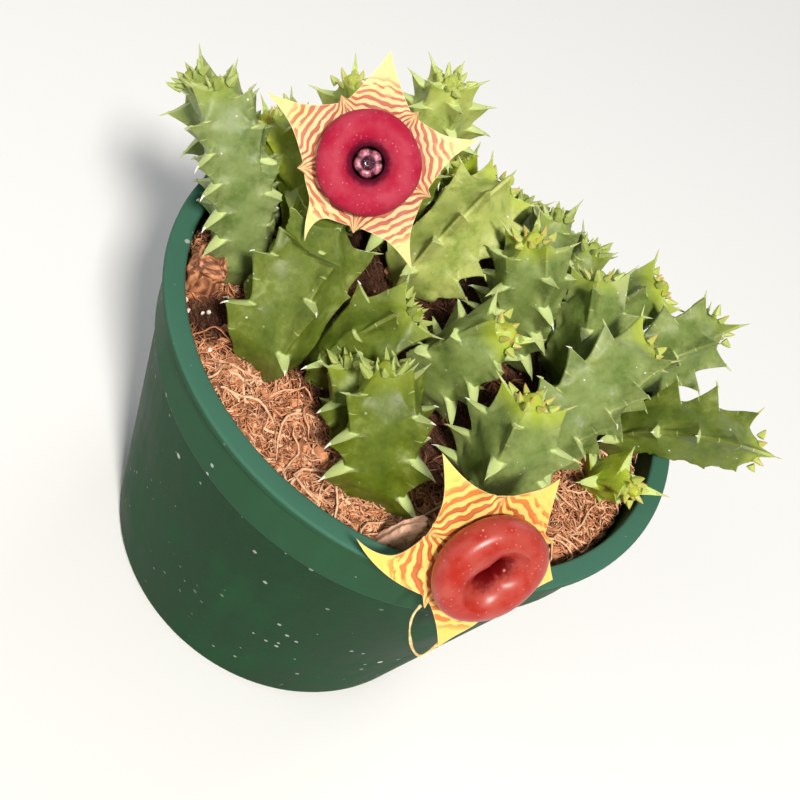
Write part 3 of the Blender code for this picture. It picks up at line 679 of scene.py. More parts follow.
# Youngest leaves round the growing point: distance out, lean, length and thickness.
YOUNG_WHORLS = ((3.3, 62.0, 3.6, 0.88), (2.4, 46.0, 3.1, 0.70), (1.4, 24.0, 2.2, 0.50))
BLUSH_SHORTER = 0.25
GREY_GREEN = (0.222, 0.276, 0.092, 1.0)
MID_GREEN = (0.140, 0.180, 0.022, 1.0)
OLIVE = (0.122, 0.160, 0.009, 1.0)
SAGE = (0.222, 0.280, 0.080, 1.0)
LIME = (0.370, 0.430, 0.035, 1.0)
# PALE_AND_LIT_GREEN is partly the stems' own paler tone and partly painted light, for stems that the lamps leave
# in shade.
PALE_AND_LIT_GREEN = (0.450, 0.490, 0.140, 1.0)
Stem = namedtuple("Stem", "name root tip radius ribs turn colour spiny blush")
STEMS = (
    Stem("stem_01", (-37, -14), (-55.0, -11.5, 102.8), 7.0, 4, 0, GREY_GREEN, 0.5, 0.1),
    Stem("stem_02", (-42, 1), (-62.2, -3.8, 94.0), 5.8, 5, 40, GREY_GREEN, 0.5, 0.1),
    Stem("stem_03", (-32, 3), (-48.4, 1.6, 92.0), 4.6, 4, 20, LIME, 0.2, 1.0),
    Stem("stem_04", (-32, 12.5), (-49.5, 13.0, 86.0), 6.0, 4, 0, GREY_GREEN, 0.3, 0.1),
    Stem("stem_05", (-22.5, -25.5), (-27.7, -8.6, 92.5), 8.8, 5, 52, MID_GREEN, 0.8, 0.1),
    Stem("stem_06", (-12.5, -20), (-5.6, -12.2, 90.0), 6.8, 5, 60, MID_GREEN, 0.7, 0.1),
    Stem("stem_07", (5.6, -33.8), (-3.6, -29.4, 92.0), 8.4, 4, 0, OLIVE, 0.9, 0.0),
    Stem("stem_08", (-3, -28), (-9.6, -26.0, 84.0), 5.0, 4, 0, MID_GREEN, 0.8, 0.1),
    Stem("stem_09", (4, -7), (9.6, -6.0, 94.0), 7.6, 4, 30, SAGE, 0.2, 1.0),
    Stem("stem_10", (11, 15), (3.0, 16.0, 97.0), 7.6, 5, 0, SAGE, 0.3, 1.0),
    Stem("stem_11", (26, 18), (17.8, 26.0, 92.0), 7.0, 4, 45, SAGE, 0.2, 0.4),
    Stem("stem_12", (24.5, 33.5), (30.0, 39.0, 90.0), 7.0, 4, 20, SAGE, 0.2, 1.0),
    Stem("stem_13", (34, 24), (44.0, 40.0, 90.0), 6.8, 5, 0, SAGE, 0.2, 0.5),
    Stem("stem_14", (27, -8), (32.2, 14.8, 94.0), 7.6, 4, 40, SAGE, 0.2, 1.0),
    Stem("stem_15", (40, 12), (62.4, 19.0, 87.0), 6.4, 4, 43, MID_GREEN, 0.3, 0.9),
    Stem("stem_16", (23, -19.5), (19.6, -15.4, 93.5), 8.0, 4, 46, SAGE, 0.1, 1.0),
    Stem("stem_17", (41, -1), (45.6, -5.3, 81.5), 4.6, 4, 0, LIME, 0.0, 0.8),
    Stem("stem_18", (-34, 22), (-42.2, 21.6, 96.0), 6.6, 4, 15, PALE_AND_LIT_GREEN, 0.4, 0.6),
    Stem("stem_19", (-24, 32), (-27.2, 30.0, 104.0), 6.8, 5, 30, PALE_AND_LIT_GREEN, 0.4, 0.1),
    Stem("stem_20", (-12.5, 39.5), (-18.8, 38.6, 85.0), 4.6, 4, 0, LIME, 0.1, 0.3),
    Stem("stem_21", (-11, 13), (-7.0, 31.0, 91.0), 8.4, 5, 40, PALE_AND_LIT_GREEN, 0.0, 0.8),
    Stem("stem_22", (9, 31), (4.0, 34.0, 92.0), 6.6, 4, 0, GREY_GREEN, 0.4, 0.1),
    Stem("stem_23", (15.5, 38.5), (14.4, 41.0, 86.0), 6.0, 4, 30, SAGE, 0.3, 0.1),
    Stem("stem_24", (-2, 41), (-3.0, 45.0, 82.0), 5.6, 4, 10, GREY_GREEN, 0.4, 0.1),
    Stem("stem_25", (-21, 19.5), (-23.0, 17.0, 93.0), 6.6, 4, 40, MID_GREEN, 0.4, 0.1),
)
# A flower has its middle, the way it faces, its size, the stem that carries it, and where.
Flower = namedtuple("Flower", "name centre facing size carrier carrier_share")
FLOWERS = (
    Flower("flower_1", (-26.6, -9.0, 107.0), (0.124, -0.780, 0.614), 0.98, "stem_05", 0.55),
    Flower("flower_2", (27.2, -42.8, 84.5), (0.539, -0.702, 0.465), 1.02, "stem_16", 0.30),
)
CUP_DEPTH = 6.6
STALK_RADIUS = 1.2
STALK_CLEAR = 1.2
STAR_CLEAR = 18.5
STAR_UNDER = 2.0
STAR_DROOP = 2.2
CUP_CLEAR = 7.2


class Axis:
    """The middle line of a stem: straight up at the soil, then leaning over to the tip."""

    def __init__(self, stem):
        x, y = stem.root
        self.root = np.array((x, y, float(soil_height(float(x), float(y)))))
        away = np.array(stem.tip[:2]) - self.root[:2]
        self.reach = float(np.hypot(*away))
        self.lean = np.array((*(away / max(self.reach, 1e-6)), 0.0))
        self.rise = stem.tip[2] - self.root[2]
        self.lift = max(self.rise / 2, math.sqrt(BEND_RADIUS * self.reach / 2))
        self.shares = np.linspace(0.0, 1.0, 200)
        steps = np.linalg.norm(np.diff(self.curve(self.shares), axis=0), axis=1)
        self.lengths = np.concatenate([[0.0], np.cumsum(steps)])
        self.length = float(self.lengths[-1])
        self.line = self.curve(np.linspace(0.0, 1.0, AXIS_SAMPLES))

    def curve(self, share):
        share = np.asarray(share)[..., None]
        height = 2 * share * (1 - share) * self.lift + share ** 2 * self.rise
        return self.root + self.lean * self.reach * share ** 2 + np.array((0, 0, 1)) * height

    def frames(self, along):
        """Points, inward normals, side and tangents at lengths along the stem."""
        share = np.interp(along, self.lengths, self.shares)
        climb = 2 * (1 - 2 * share) * self.lift + 2 * share * self.rise
        tangent = (self.lean * (2 * self.reach * share)[:, None]
                   + np.array((0, 0, 1)) * climb[:, None])
        tangent /= np.linalg.norm(tangent, axis=1)[:, None]
        side = np.cross((0.0, 0.0, 1.0), self.lean)
        past = along - np.clip(along, 0.0, self.length)
        return self.curve(share) + tangent * past[:, None], np.cross(side, tangent), side, tangent


def distance_to_line(points, line):
    """Distance from each point to a polyline."""
    start, run = line[:-1], np.diff(line, axis=0)
    offset = points[:, None, :] - start[None]
    share = np.einsum("ijk,jk->ij", offset, run) / np.einsum("jk,jk->j", run, run)
    near = offset - np.clip(share, 0.0, 1.0)[..., None] * run[None]
    return np.sqrt(np.einsum("ijk,ijk->ij", near, near).min(axis=1))


def flower_frame(flower):
    """Facing direction of a flower, and the level and rising directions in its plane."""
    facing = np.array(flower.facing) / np.linalg.norm(flower.facing)
    level = np.cross((0.0, 0.0, 1.0), facing)
    level /= np.linalg.norm(level)
    return facing, level, np.cross(facing, level)


AXES = {stem.name: Axis(stem) for stem in STEMS}
RADII = {stem.name: stem.radius for stem in STEMS}


def stalk_line(flower):
    """Middle line of a flower stalk, from inside its stem to the back of the flower."""
    facing = flower_frame(flower)[0]
    axis = AXES[flower.carrier]
    start = axis.frames(np.array([axis.length * flower.carrier_share]))[0][0]
    end = np.array(flower.centre) - facing * (CUP_DEPTH + 2.4) * flower.size
    bend = end - facing * 0.45 * np.linalg.norm(end - start)
    share = np.linspace(0.0, 1.0, 17)[:, None]
    return (1 - share) ** 2 * start + 2 * share * (1 - share) * bend + share ** 2 * end


STALKS = {flower.name: stalk_line(flower) for flower in FLOWERS}


def neighbours(name):
    """Names of the stems that come near a stem."""
    near = []
    for other in AXES:
        reach = RADII[name] + RADII[other] + 2 * TOOTH_LENGTH
        if other != name and distance_to_line(AXES[name].line, AXES[other].line).min() < reach:
            near.append(other)
    return near


def is_free(points, name, near):
    """True where a point of a stem may lie: clear of pot, soil, other stems and flowers."""
    own = distance_to_line(points, AXES[name].line) - RADII[name]
    inward = LIP_RADIUS - LIP_WIDTH - LIP_CLEAR - np.hypot(points[:, 0], points[:, 1])
    limit = np.where(inward > 0, inward + LIP_SLOPE * inward ** 2, OUTER_SLOPE * inward)
    free = points[:, 2] > POT_HEIGHT + LIP_CLEAR / 2 - limit
    free &= points[:, 2] > soil_height(points[:, 0], points[:, 1]) + SOIL_CLEAR
    for other in near:
        away = distance_to_line(points, AXES[other].line) - RADII[other]
        free &= (own < away - STEM_GAP) | (away > TOUCH)
    for flower in FLOWERS:
        offset = points - np.array(flower.centre)
        height = offset @ flower_frame(flower)[0]
        spread = np.sqrt(np.maximum((offset ** 2).sum(axis=1) - height ** 2, 0.0))
        under = STAR_UNDER + STAR_DROOP * (spread / STAR_CLEAR) ** 2
        star = (spread < STAR_CLEAR * flower.size) & (height > -under) & (height < 8.0)
        cup = (spread < CUP_CLEAR * flower.size) & (height > -10.5) & (height <= 0.0)
        free &= ~(star | cup)
        if flower.carrier != name:
            reach = distance_to_line(points, STALKS[flower.name])
            free &= reach > STALK_RADIUS * flower.size + STALK_CLEAR
    return free


def draw_in(points, middles, name):
    """Pull each point towards the stem's axis until it lies where it may."""
    near = neighbours(name)
    held = ~is_free(points, name, near)
    offset = points[held] - middles[held]
    low, high = np.zeros(len(offset)), np.ones(len(offset))
    for _ in range(8):
        share = (low + high) / 2
        free = is_free(middles[held] + offset * share[:, None], name, near)
        low = np.where(free, share, low)
        high = np.where(free, high, share)
    points = points.copy()
    points[held] = middles[held] + offset * low[:, None]
    return points


def body_share(along, length):
    """Thickness of a stem along its length, as a share of its radius."""
    foot = np.clip(along / FOOT_SWELL, 0.0, 1.0)
    end = np.clip((along - length) / TAPER_LENGTH + 1.0, 0.0, 1.0)
    return (FOOT_SHARE + (1 - FOOT_SHARE) * foot ** 0.7) * (1 - TAPER * end ** 2)


def crowded(along, length):
    """Rows near the tip lie closer together than the even rows that they are counted in."""
    back = length - HIGHEST_TOOTH - along
    return along + CROWDING * np.maximum(back, 0.0) * np.exp(-np.maximum(back, 0.0)
                                                             / CROWDED_LENGTH)


def youth(along, length):
    """From 0 on the old part of a stem to 1 at its tip."""
    return np.clip((along - length) / YOUNG_LENGTH + 1.0, 0.0, 1.0)


def wedge(crest, turn, opening, blunt=0.0):
    """Radius of a rib's flank that falls away from a crest on both sides."""
    slope = math.tan(math.radians(opening))
    flank = (crest * slope + blunt) / (np.sin(np.abs(turn)) + np.cos(turn) * slope)
    return np.minimum(crest, flank)


def horn(start, heading, droop, length, thickness, sides=6, joints=5):
    """Points and faces of a thin curved cone."""
    share = np.linspace(0.0, 1.0, joints)[:, None]
    line = start + (heading * share + droop * share ** 2) * length
    across = np.cross(heading, (0.31, 0.17, 0.93))
    across /= np.linalg.norm(across)
    other = np.cross(heading, across)
    turns = np.arange(sides) * math.tau / sides
    ring = np.outer(np.cos(turns), across) + np.outer(np.sin(turns), other)
    fat = thickness * (1.0 - share[:-1]) ** 0.75
    points = [line[i] + ring * fat[i] for i in range(joints - 1)]
    points = np.concatenate(points + [line[-1:]])
    faces = [tuple(range(sides))]
    for j in range(sides):
        k = (j + 1) % sides
        for i in range(joints - 2):
            low = i * sides
            faces.append((low + k, low + j, low + sides + j, low + sides + k))
        faces.append(((joints - 2) * sides + k, (joints - 2) * sides + j, len(points) - 1))
    return points, faces


def stem_mesh(stem, chance):
    """Points, faces and masks of one stem with its teeth, dry tips and youngest leaves."""
    axis = AXES[stem.name]
    pitch = PITCHES.get(stem.name, TOOTH_PITCH)
    half = pitch / 2
    count = max(3, round((axis.length - LOWEST_TOOTH - HIGHEST_TOOTH) / half))
    first = axis.length - HIGHEST_TOOTH - count * half
    levels = [-FOOT_DEPTH, -1.0]
    levels += [first + half * (i + share) for i in range(-3, count) for share in TOOTH_ROWS]
    levels = np.array([level for level in levels[:2] + sorted(levels[2:]) if
                       level == levels[0] or level >= -1.0] + [first + half * count])
    caps = axis.length - HIGHEST_TOOTH + CAP_HEIGHT * np.array((0.08, 0.35, 0.6, 0.8, 0.95))
    levels = np.concatenate([levels, caps])
    domed = np.concatenate([np.ones(len(levels) - 5), (0.98, 0.86, 0.68, 0.46, 0.2)])
    places = crowded(levels, axis.length)
    share = body_share(places, axis.length) * domed
    young = youth(places, axis.length)

    offsets = np.array([-turn for turn in RIB_TURNS[:0:-1]] + list(RIB_TURNS) + [1.0])
    half_rib = math.pi / stem.ribs
    rib = np.repeat(np.arange(stem.ribs), len(offsets))
    turn = np.tile(offsets, stem.ribs) * half_rib
    angle = math.radians(stem.turn) + math.tau * rib / stem.ribs + turn

    ridge = stem.radius * share[:, None] * RIDGE_SHARE
    wave = (0.5 + 0.5 * np.cos(stem.ribs * turn)) ** 1.3
    body = stem.radius * share[:, None] * (GROOVE_SHARE + (FACE_SHARE - GROOVE_SHARE) * wave)
    plain = np.maximum(body, 0.0)
    flank = wedge(ridge, turn[None], RIDGE_TURN)
    plain = (plain + flank + np.sqrt((plain - flank) ** 2 + 0.35)) / 2
    plain = plain - 0.3 * np.minimum(1.0, plain / 2.0)
    beat = (levels[:, None] - first) / pitch - (rib % 2)[None] / 2
    plain = plain * (1.0 + TUBERCLE * wave * np.cos(math.tau * beat + TUBERCLE_LAG))
    reach = np.zeros((len(levels), stem.ribs))
    size = np.ones_like(reach)
    hang = np.zeros_like(reach)
    tips = []
    for i in range(count + 1):
        tip = first + half * i
        age = youth(crowded(tip, axis.length), axis.length)
        long = TOOTH_LENGTH * (1 + (TIP_TOOTH_SHARE - 1) * age)
        long *= 0.75 + 0.25 * float(body_share(tip, axis.length))
        long *= min(1.0, (pitch / TOOTH_PITCH) ** 0.5)
        for k in range(stem.ribs):
            if (i + k) % 2:
                continue
            below = tip - levels
            below = below / (TOOTH_REACH * pitch)
            rise = np.where((below > -1e-6) & (below < 1.0), 1.0 - below, 0.0) ** TOOTH_SWEEP
            here = rise > 0
            length = long * chance.uniform(0.88, 1.10)
            drop = (TOOTH_HANG * (1 - age) + TIP_TOOTH_LIFT * age) * chance.uniform(0.75, 1.2)
            reach[here, k] = rise[here]
            size[here, k] = length
            hang[here, k] = drop
            tips.append((int(np.argmin(np.abs(levels - tip))), k, age, length, drop))
    crest = ridge + (reach * size)[:, rib]
    tooth = np.where(reach[:, rib] > 0, wedge(crest, turn[None], TOOTH_TURN, TOOTH_BLUNT), 0.0)
    near = np.clip(1.0 - np.abs(plain - tooth) / TOOTH_BLEND, 0.0, 1.0)
    radius = np.maximum(plain, tooth) + near ** 2 * TOOTH_BLEND / 4
    excess = np.clip((radius - plain) / size[:, rib], 0.0, 1.0)
    lift = hang[:, rib] * excess ** 1.2

    middle, normal, side, tangent = axis.frames(places)
    outward = (normal[:, None] * np.cos(angle)[None, :, None]
               + side[None, None] * np.sin(angle)[None, :, None])
    points = middle[:, None] + outward * radius[..., None] + tangent[:, None] * lift[..., None]
    middles = np.broadcast_to(middle[:, None], points.shape).reshape(-1, 3)
    points = points.reshape(-1, 3)
    lumps = np.array([noise.noise(Vector(point) / 4.0) for point in points])
    points = points + outward.reshape(-1, 3) * (0.16 * lumps)[:, None]
    loose = np.repeat(levels > 0.2, len(angle))
    points[loose] = draw_in(points[loose], middles[loose], stem.name)

    ledge = np.zeros_like(radius)
    ledge[1:] = np.clip(excess[:-1] * 16.0 - 3.0, 0.0, 1.0) * (excess[1:] < excess[:-1] - 0.02)
    on_tip = np.zeros(len(levels), bool)
    on_tip[[row for row, _, _, _, _ in tips]] = True
    ledge = np.maximum(ledge, on_tip[:, None] * np.clip(excess * 4.0 - 0.9, 0.0, 0.7))
    columns = len(angle)
    faces = []
    for i in range(len(levels) - 1):
        for j in range(columns):
            k = (j + 1) % columns
            low = i * columns
            faces.append((low + j, low + k, low + columns + k, low + columns + j))
    faces.append(tuple(reversed(range(columns))))
    peak = len(points)
    top = (len(levels) - 1) * columns
    faces += [(top + j, top + (j + 1) % columns, peak) for j in range(columns)]
    end = middle[-1] + tangent[-1] * 0.1
    points = np.vstack([points, end])
    masks = {
        "ledge": np.append(ledge.ravel(), 0.0),
        "young": np.append(np.repeat(young, columns), 1.0),
        "tooth": np.append(excess.ravel(), 0.0),
        # Painted shade in the grooves between ribs.
        "groove_shade": np.append(np.tile(0.5 - 0.5 * np.cos(stem.ribs * turn), len(levels)), 0.0),
        "low": np.append(np.repeat(np.clip(1 - levels / 7.0, 0.0, 1.0), columns), 0.0),
        "dry": np.zeros(len(points)),
        "blush": np.zeros(len(points)),
        "fresh": np.full(len(points), 0.30 + 0.50 * stem.blush),
    }
    grid = points[:peak].reshape(len(levels), columns, 3)
    crest_column = len(RIB_TURNS) - 1
    extras = []
    for row, k, age, length, drop in tips:
        column = k * len(offsets) + crest_column
        tip = grid[row, column]
        if np.linalg.norm(tip - middle[row]) < radius[row, column] - 1.0:
            continue
        heading = outward[row, column] * length + tangent[row] * drop
        heading /= np.linalg.norm(heading)
        down = tangent[row] * (age - 0.5)
        if age < 0.45 and chance.random() < stem.spiny:
            extras.append((tip - heading * 0.5, heading, down * 0.7,
                           SPINE_LENGTH * chance.uniform(0.7, 1.25), SPINE_THICKNESS, 1.0, 0.0))
        else:
            extras.append((tip - heading * 0.6, heading, down * 0.3, 1.5 + 1.2 * age, 0.30,
                           0.15, 0.4 * age * stem.blush))
    for ring, (out, lean, long, wide) in enumerate(YOUNG_WHORLS):
        for j in range(stem.ribs):
            around = math.radians(stem.turn) + math.tau * (j + 0.5 * (ring % 2)) / stem.ribs
            out_way = normal[-1] * math.cos(around) + side * math.sin(around)
            tilt = math.radians(lean * chance.uniform(0.6, 1.4))
            heading = tangent[-1] * math.cos(tilt) + out_way * math.sin(tilt)
            start = axis.frames(np.array([axis.length - 0.4]))[0][0]
            start = start + out_way * out * stem.radius / 7.5
            long_here = long * (1 - BLUSH_SHORTER * stem.blush) * chance.uniform(0.7, 1.1)
            extras.append((start, heading, -out_way * 0.2, long_here, wide, 0.0,
                           stem.blush * (0.2 + 0.4 * ring)))
    for start, heading, droop, length, thick, dry, blush in extras:
        more, corners = horn(start, heading, droop, length, thick)
        faces += [tuple(len(points) + corner for corner in face) for face in corners]
        points = np.vstack([points, more])
        far = np.append(np.repeat(np.linspace(0, 1, 5)[:-1], 6), 1.0)
        for name, value in (("ledge", 0.35 * (1 - dry)), ("young", 1.0 - dry), ("tooth", 1.0),
                            ("groove_shade", 0.0), ("low", 0.0), ("dry", dry), ("blush", blush),
                            ("fresh", 0.3 + 0.5 * stem.blush)):
            grown = value * (far if name == "blush" else np.ones(len(more)))
            masks[name] = np.append(masks[name], grown)
    return points, faces, masks


def stem_material():
    """Waxy skin: mottled green, yellower and brighter at the tip, pale on the ledges, with painted shade in the
    grooves between ribs.
    """
    material, wires, surface = new_material(
        "stem_skin", Specular_IOR_Level=0.34, Subsurface_Weight=0.12, Subsurface_Scale=0.002)
    place = wires.place()
    own = wires.attribute("flesh", "Color")
    blotches = wires.noise(place, 190.0, 4.0, 0.6)
    cells = wires.noise(place, 900.0, 3.0, 0.6)
    shade = wires.math("ADD", wires.math("MULTIPLY", blotches, 0.7),
                       wires.math("MULTIPLY", cells, 0.3))
    darker = wires.mix(1.0, own, (0.52, 0.60, 0.42, 1.0), "MULTIPLY")
    lighter = wires.mix(0.24, own, (0.60, 0.70, 0.28, 1.0))
    colour = wires.mix(wires.step(shade, 0.34, 0.56), darker, own)
    colour = wires.mix(wires.step(shade, 0.52, 0.72), colour, lighter)
    # Painted shade: the grooves between the ribs are darkened.
    groove_shade = wires.math("MULTIPLY", wires.attribute("groove_shade"), 0.35)
    colour = wires.mix(groove_shade, colour, wires.mix(1.0, own, (0.45, 0.62, 0.30, 1.0), "MULTIPLY"))
    young = wires.math("MULTIPLY", wires.step(wires.attribute("young"), 0.58, 0.98),
                       wires.attribute("fresh"))
    colour = wires.mix(young, colour, (0.42, 0.50, 0.040, 1.0))
    ledge = wires.math("MULTIPLY", wires.attribute("ledge"), 0.85)
    colour = wires.mix(ledge, colour, (0.60, 0.71, 0.28, 1.0))
    colour = wires.mix(wires.attribute("blush"), colour, (0.60, 0.20, 0.06, 1.0))
    colour = wires.mix(wires.attribute("dry"), colour, (0.80, 0.77, 0.68, 1.0))
    specks = wires.group(DUST_SPECKS, Scale=620.0, Amount=0.40).outputs[0]
    specks = wires.math("MULTIPLY", specks, wires.step(blotches, 0.40, 0.60))
    colour = wires.mix(wires.math("MULTIPLY", specks, 0.8), colour, DUST)
    wires.feed(surface, "Base_Color", colour)
    rough = wires.math("ADD", wires.math("MULTIPLY", shade, 0.25), 0.34)
    wires.feed(surface, "Roughness", rough)
    height = wires.math("ADD", cells, wires.math("MULTIPLY", blotches, 1.5))
    bump = wires.node("Bump", Strength=0.35, Distance=0.00018, Height=height)
    wires.feed(surface, "Normal", bump.outputs[0])
    return material


STEM_MATERIAL = stem_material()
for number, stem in enumerate(STEMS):
    points, faces, masks = stem_mesh(stem, np.random.default_rng(100 + number))
    piece = new_piece(f"{stem.name}_flesh", points, faces, STEM_MATERIAL, 48)
    for name, values in masks.items():
        set_mask(piece, name, values)
    tint = piece.data.color_attributes.new(name="flesh", type="FLOAT_COLOR", domain="POINT")
    tint.data.foreach_set("color", np.tile(stem.colour, len(points)).astype(np.float32))
    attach(piece, "root")
    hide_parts(stem.name)

# The bark chip: a split wedge of pine bark that stands in the soil at the front, pale where it
# broke and dark on its weathered side.
CHIP_SIZE = (5.4, 3.4, 9.4)
CHIP_TURN = 25.0
CHIP_GAP = 0.3
CHIP_CUTS = 11
BARK_PALE = (0.76, 0.45, 0.31, 1.0)
BARK_DARK = (0.15, 0.07, 0.035, 1.0)


def bark_chip():
    block = bmesh.new()
    bmesh.ops.create_cube(block, size=1.0)
    bmesh.ops.subdivide_edges(block, edges=block.edges[:], cuts=CHIP_CUTS, use_grid_fill=True)
    turn = Matrix.Rotation(math.radians(CHIP_TURN), 3, "Z")
    for corner in block.verts:
        x, y, z = corner.co
        round_off = 1.0 - 0.10 * (abs(x) + abs(y)) ** 3
        narrow = 1.0 - 0.48 * (z + 0.5)
        spot = Vector(((x * narrow * round_off + 0.10 * z + 0.05 * math.sin(9 * y)) * CHIP_SIZE[0],
                       (y * (1.0 - 0.42 * (z + 0.5)) * round_off) * CHIP_SIZE[1],
                       (z + 0.5) * CHIP_SIZE[2] * (1.0 + 0.42 * x * (z + 0.5))))
        rough = noise.noise_vector(spot / 1.7) * 0.45 + noise.noise_vector(spot / 0.6) * 0.14
        rough.z = max(rough.z, 0.0) if z < -0.49 else rough.z
        corner.co = turn @ (spot + rough)
    points = np.array([corner.co for corner in block.verts])
    points += (*CHIP_PLACE, SOIL_LEVEL + CHIP_GAP)
    faces = [tuple(corner.index for corner in face.verts) for face in block.faces]
    block.free()
    material, wires, surface = new_material("bark", Roughness=0.85, Specular_IOR_Level=0.2)
    place = wires.place()
    x = wires.node("SeparateXYZ", Vector=place).outputs[0]
    flakes = wires.noise(place, 520.0, 5.0, 0.7)
    weathered = wires.step(x, (CHIP_PLACE[0] + 1.4) * MM, (CHIP_PLACE[0] + 2.6) * MM)
    colour = wires.mix(wires.step(flakes, 0.28, 0.48), BARK_DARK, BARK_PALE)
    colour = wires.mix(wires.math("MULTIPLY", weathered, 0.8), colour, BARK_DARK)
    wires.feed(surface, "Base_Color", colour)
    bump = wires.node("Bump", Strength=0.8, Distance=0.0004, Height=flakes)
    wires.feed(surface, "Normal", bump.outputs[0])
    return new_piece("bark_wedge", points, faces, material)


chip = bark_chip()
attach(chip, "root")
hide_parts("bark_chip")

# The stars: each flower's corolla is one fleshy piece, a five-pointed star round a short cup,
# cream to yellow with wavy red-brown stripes that run from notch to notch and meet there in
# a pinched fold.
SINUS_RADIUS = 11.0
SINUS_POINT = 1.0
LOBE_POWER = 1.9
TAIL_POWER = 9.0
DISC_RADIUS = 9.2
PETAL_DROP = 0.12
PETAL_THICKNESS = 0.7
PETAL_REFLEX = 1.8
PETAL_REACH = 10.0
CURL_START = 12.0
CUP_RADIUS = 4.4
HALF_LOBE_COLUMNS = 26
PETAL_ROWS = 30
FOLD_HEIGHT = 0.55
FOLD_WIDTH = 0.34
LOBE_SEED = 17.0
STRIPE_FOOT = 10.0
# The section of the cup and of its underside: radius and height over the flower's plane.
CUP_PROFILE = ((7.5, -0.15), (6.0, -0.4), (5.2, -1.1), (4.7, -2.2), (CUP_RADIUS, -3.4),
               (4.2, -4.4), (3.7, -5.4), (2.8, -6.5), (1.6, -6.6), (0.2, -6.6))
UNDERSIDE = ((0.2, -7.4), (1.8, -7.4), (3.4, -7.3), (4.7, -5.6), (5.3, -4.0), (6.4, -1.7),
             (7.5, -1.0))
# A lobe points at an angle, reaches a length, curls aside at its tip by an angle, and has
# a share of its length in a narrow tail.
Lobe = namedtuple("Lobe", "angle length curl tail")
LOBES = {
    "flower_1": (Lobe(-106, 17.2, 8, 0.85), Lobe(-36, 19.6, 0, 0.55), Lobe(43, 19.4, 0, 0.50),
                 Lobe(110, 19.0, 0, 0.20), Lobe(177, 20.8, 0, 0.50)),
    "flower_2": (Lobe(-163, 20.8, -16, 0.40), Lobe(-90, 19.2, 0, 0.20),
                 Lobe(-13, 15.6, 0, 0.10), Lobe(59, 17.4, 0, 0.25), Lobe(127, 20.2, 0, 0.40)),
}
StarColours = namedtuple("StarColours", "pitch waver width inner outer stripe deep rim")
STAR_COLOURS = {
    "flower_1": StarColours(1.42, 2.5, 0.13, (0.80, 0.50, 0.235, 1.0), (0.82, 0.63, 0.25, 1.0),
                            (0.47, 0.118, 0.062, 1.0), (0.35, 0.040, 0.030, 1.0),
                            (0.84, 0.64, 0.34, 1.0)),
    "flower_2": StarColours(2.05, 2.1, 0.20, (0.88, 0.56, 0.145, 1.0), (0.89, 0.59, 0.125, 1.0),
                            (0.60, 0.17, 0.035, 1.0), (0.44, 0.075, 0.025, 1.0),
                            (0.85, 0.61, 0.25, 1.0)),
}


def to_world(flower, local):
    """Points of a flower's own frame, in millimetres, put where the flower is."""
    facing, level, rising = flower_frame(flower)
    local = np.asarray(local) * flower.size
    turned = local[:, :1] * level + local[:, 1:2] * rising + local[:, 2:] * facing
    return turned + np.array(flower.centre)


def star_columns(flower):
    """For each column: its angle, edge, lobe, angle off that lobe, half gap, length and curl."""
    steps = 0.5 - 0.5 * np.cos(np.linspace(0, math.pi, HALF_LOBE_COLUMNS + 1))
    columns = []
    lobes = LOBES[flower.name]
    for i, lobe in enumerate(lobes):
        after = lobes[(i + 1) % len(lobes)]
        gap = (after.angle - lobe.angle) % 360.0
        halves = [(i, lobe, step) for step in steps[:-1]]
        halves += [((i + 1) % 5, after, step) for step in steps[:0:-1]]
        for number, (index, own, step) in enumerate(halves):
            before = number < HALF_LOBE_COLUMNS
            aside = step * gap / 2 * (1 if before else -1)
            angle = lobe.angle + (aside if before else gap + aside)
            notch = SINUS_POINT * max(0.0, 1.0 - (1.0 - step) / 0.12)
            form = (1 - own.tail) * (1 - step) ** LOBE_POWER + own.tail * (1 - step) ** TAIL_POWER
            edge = SINUS_RADIUS + (own.length - SINUS_RADIUS) * form + notch
            columns.append((angle, edge, index, aside, gap / 2, own.length, own.curl))
    return np.array(columns).T


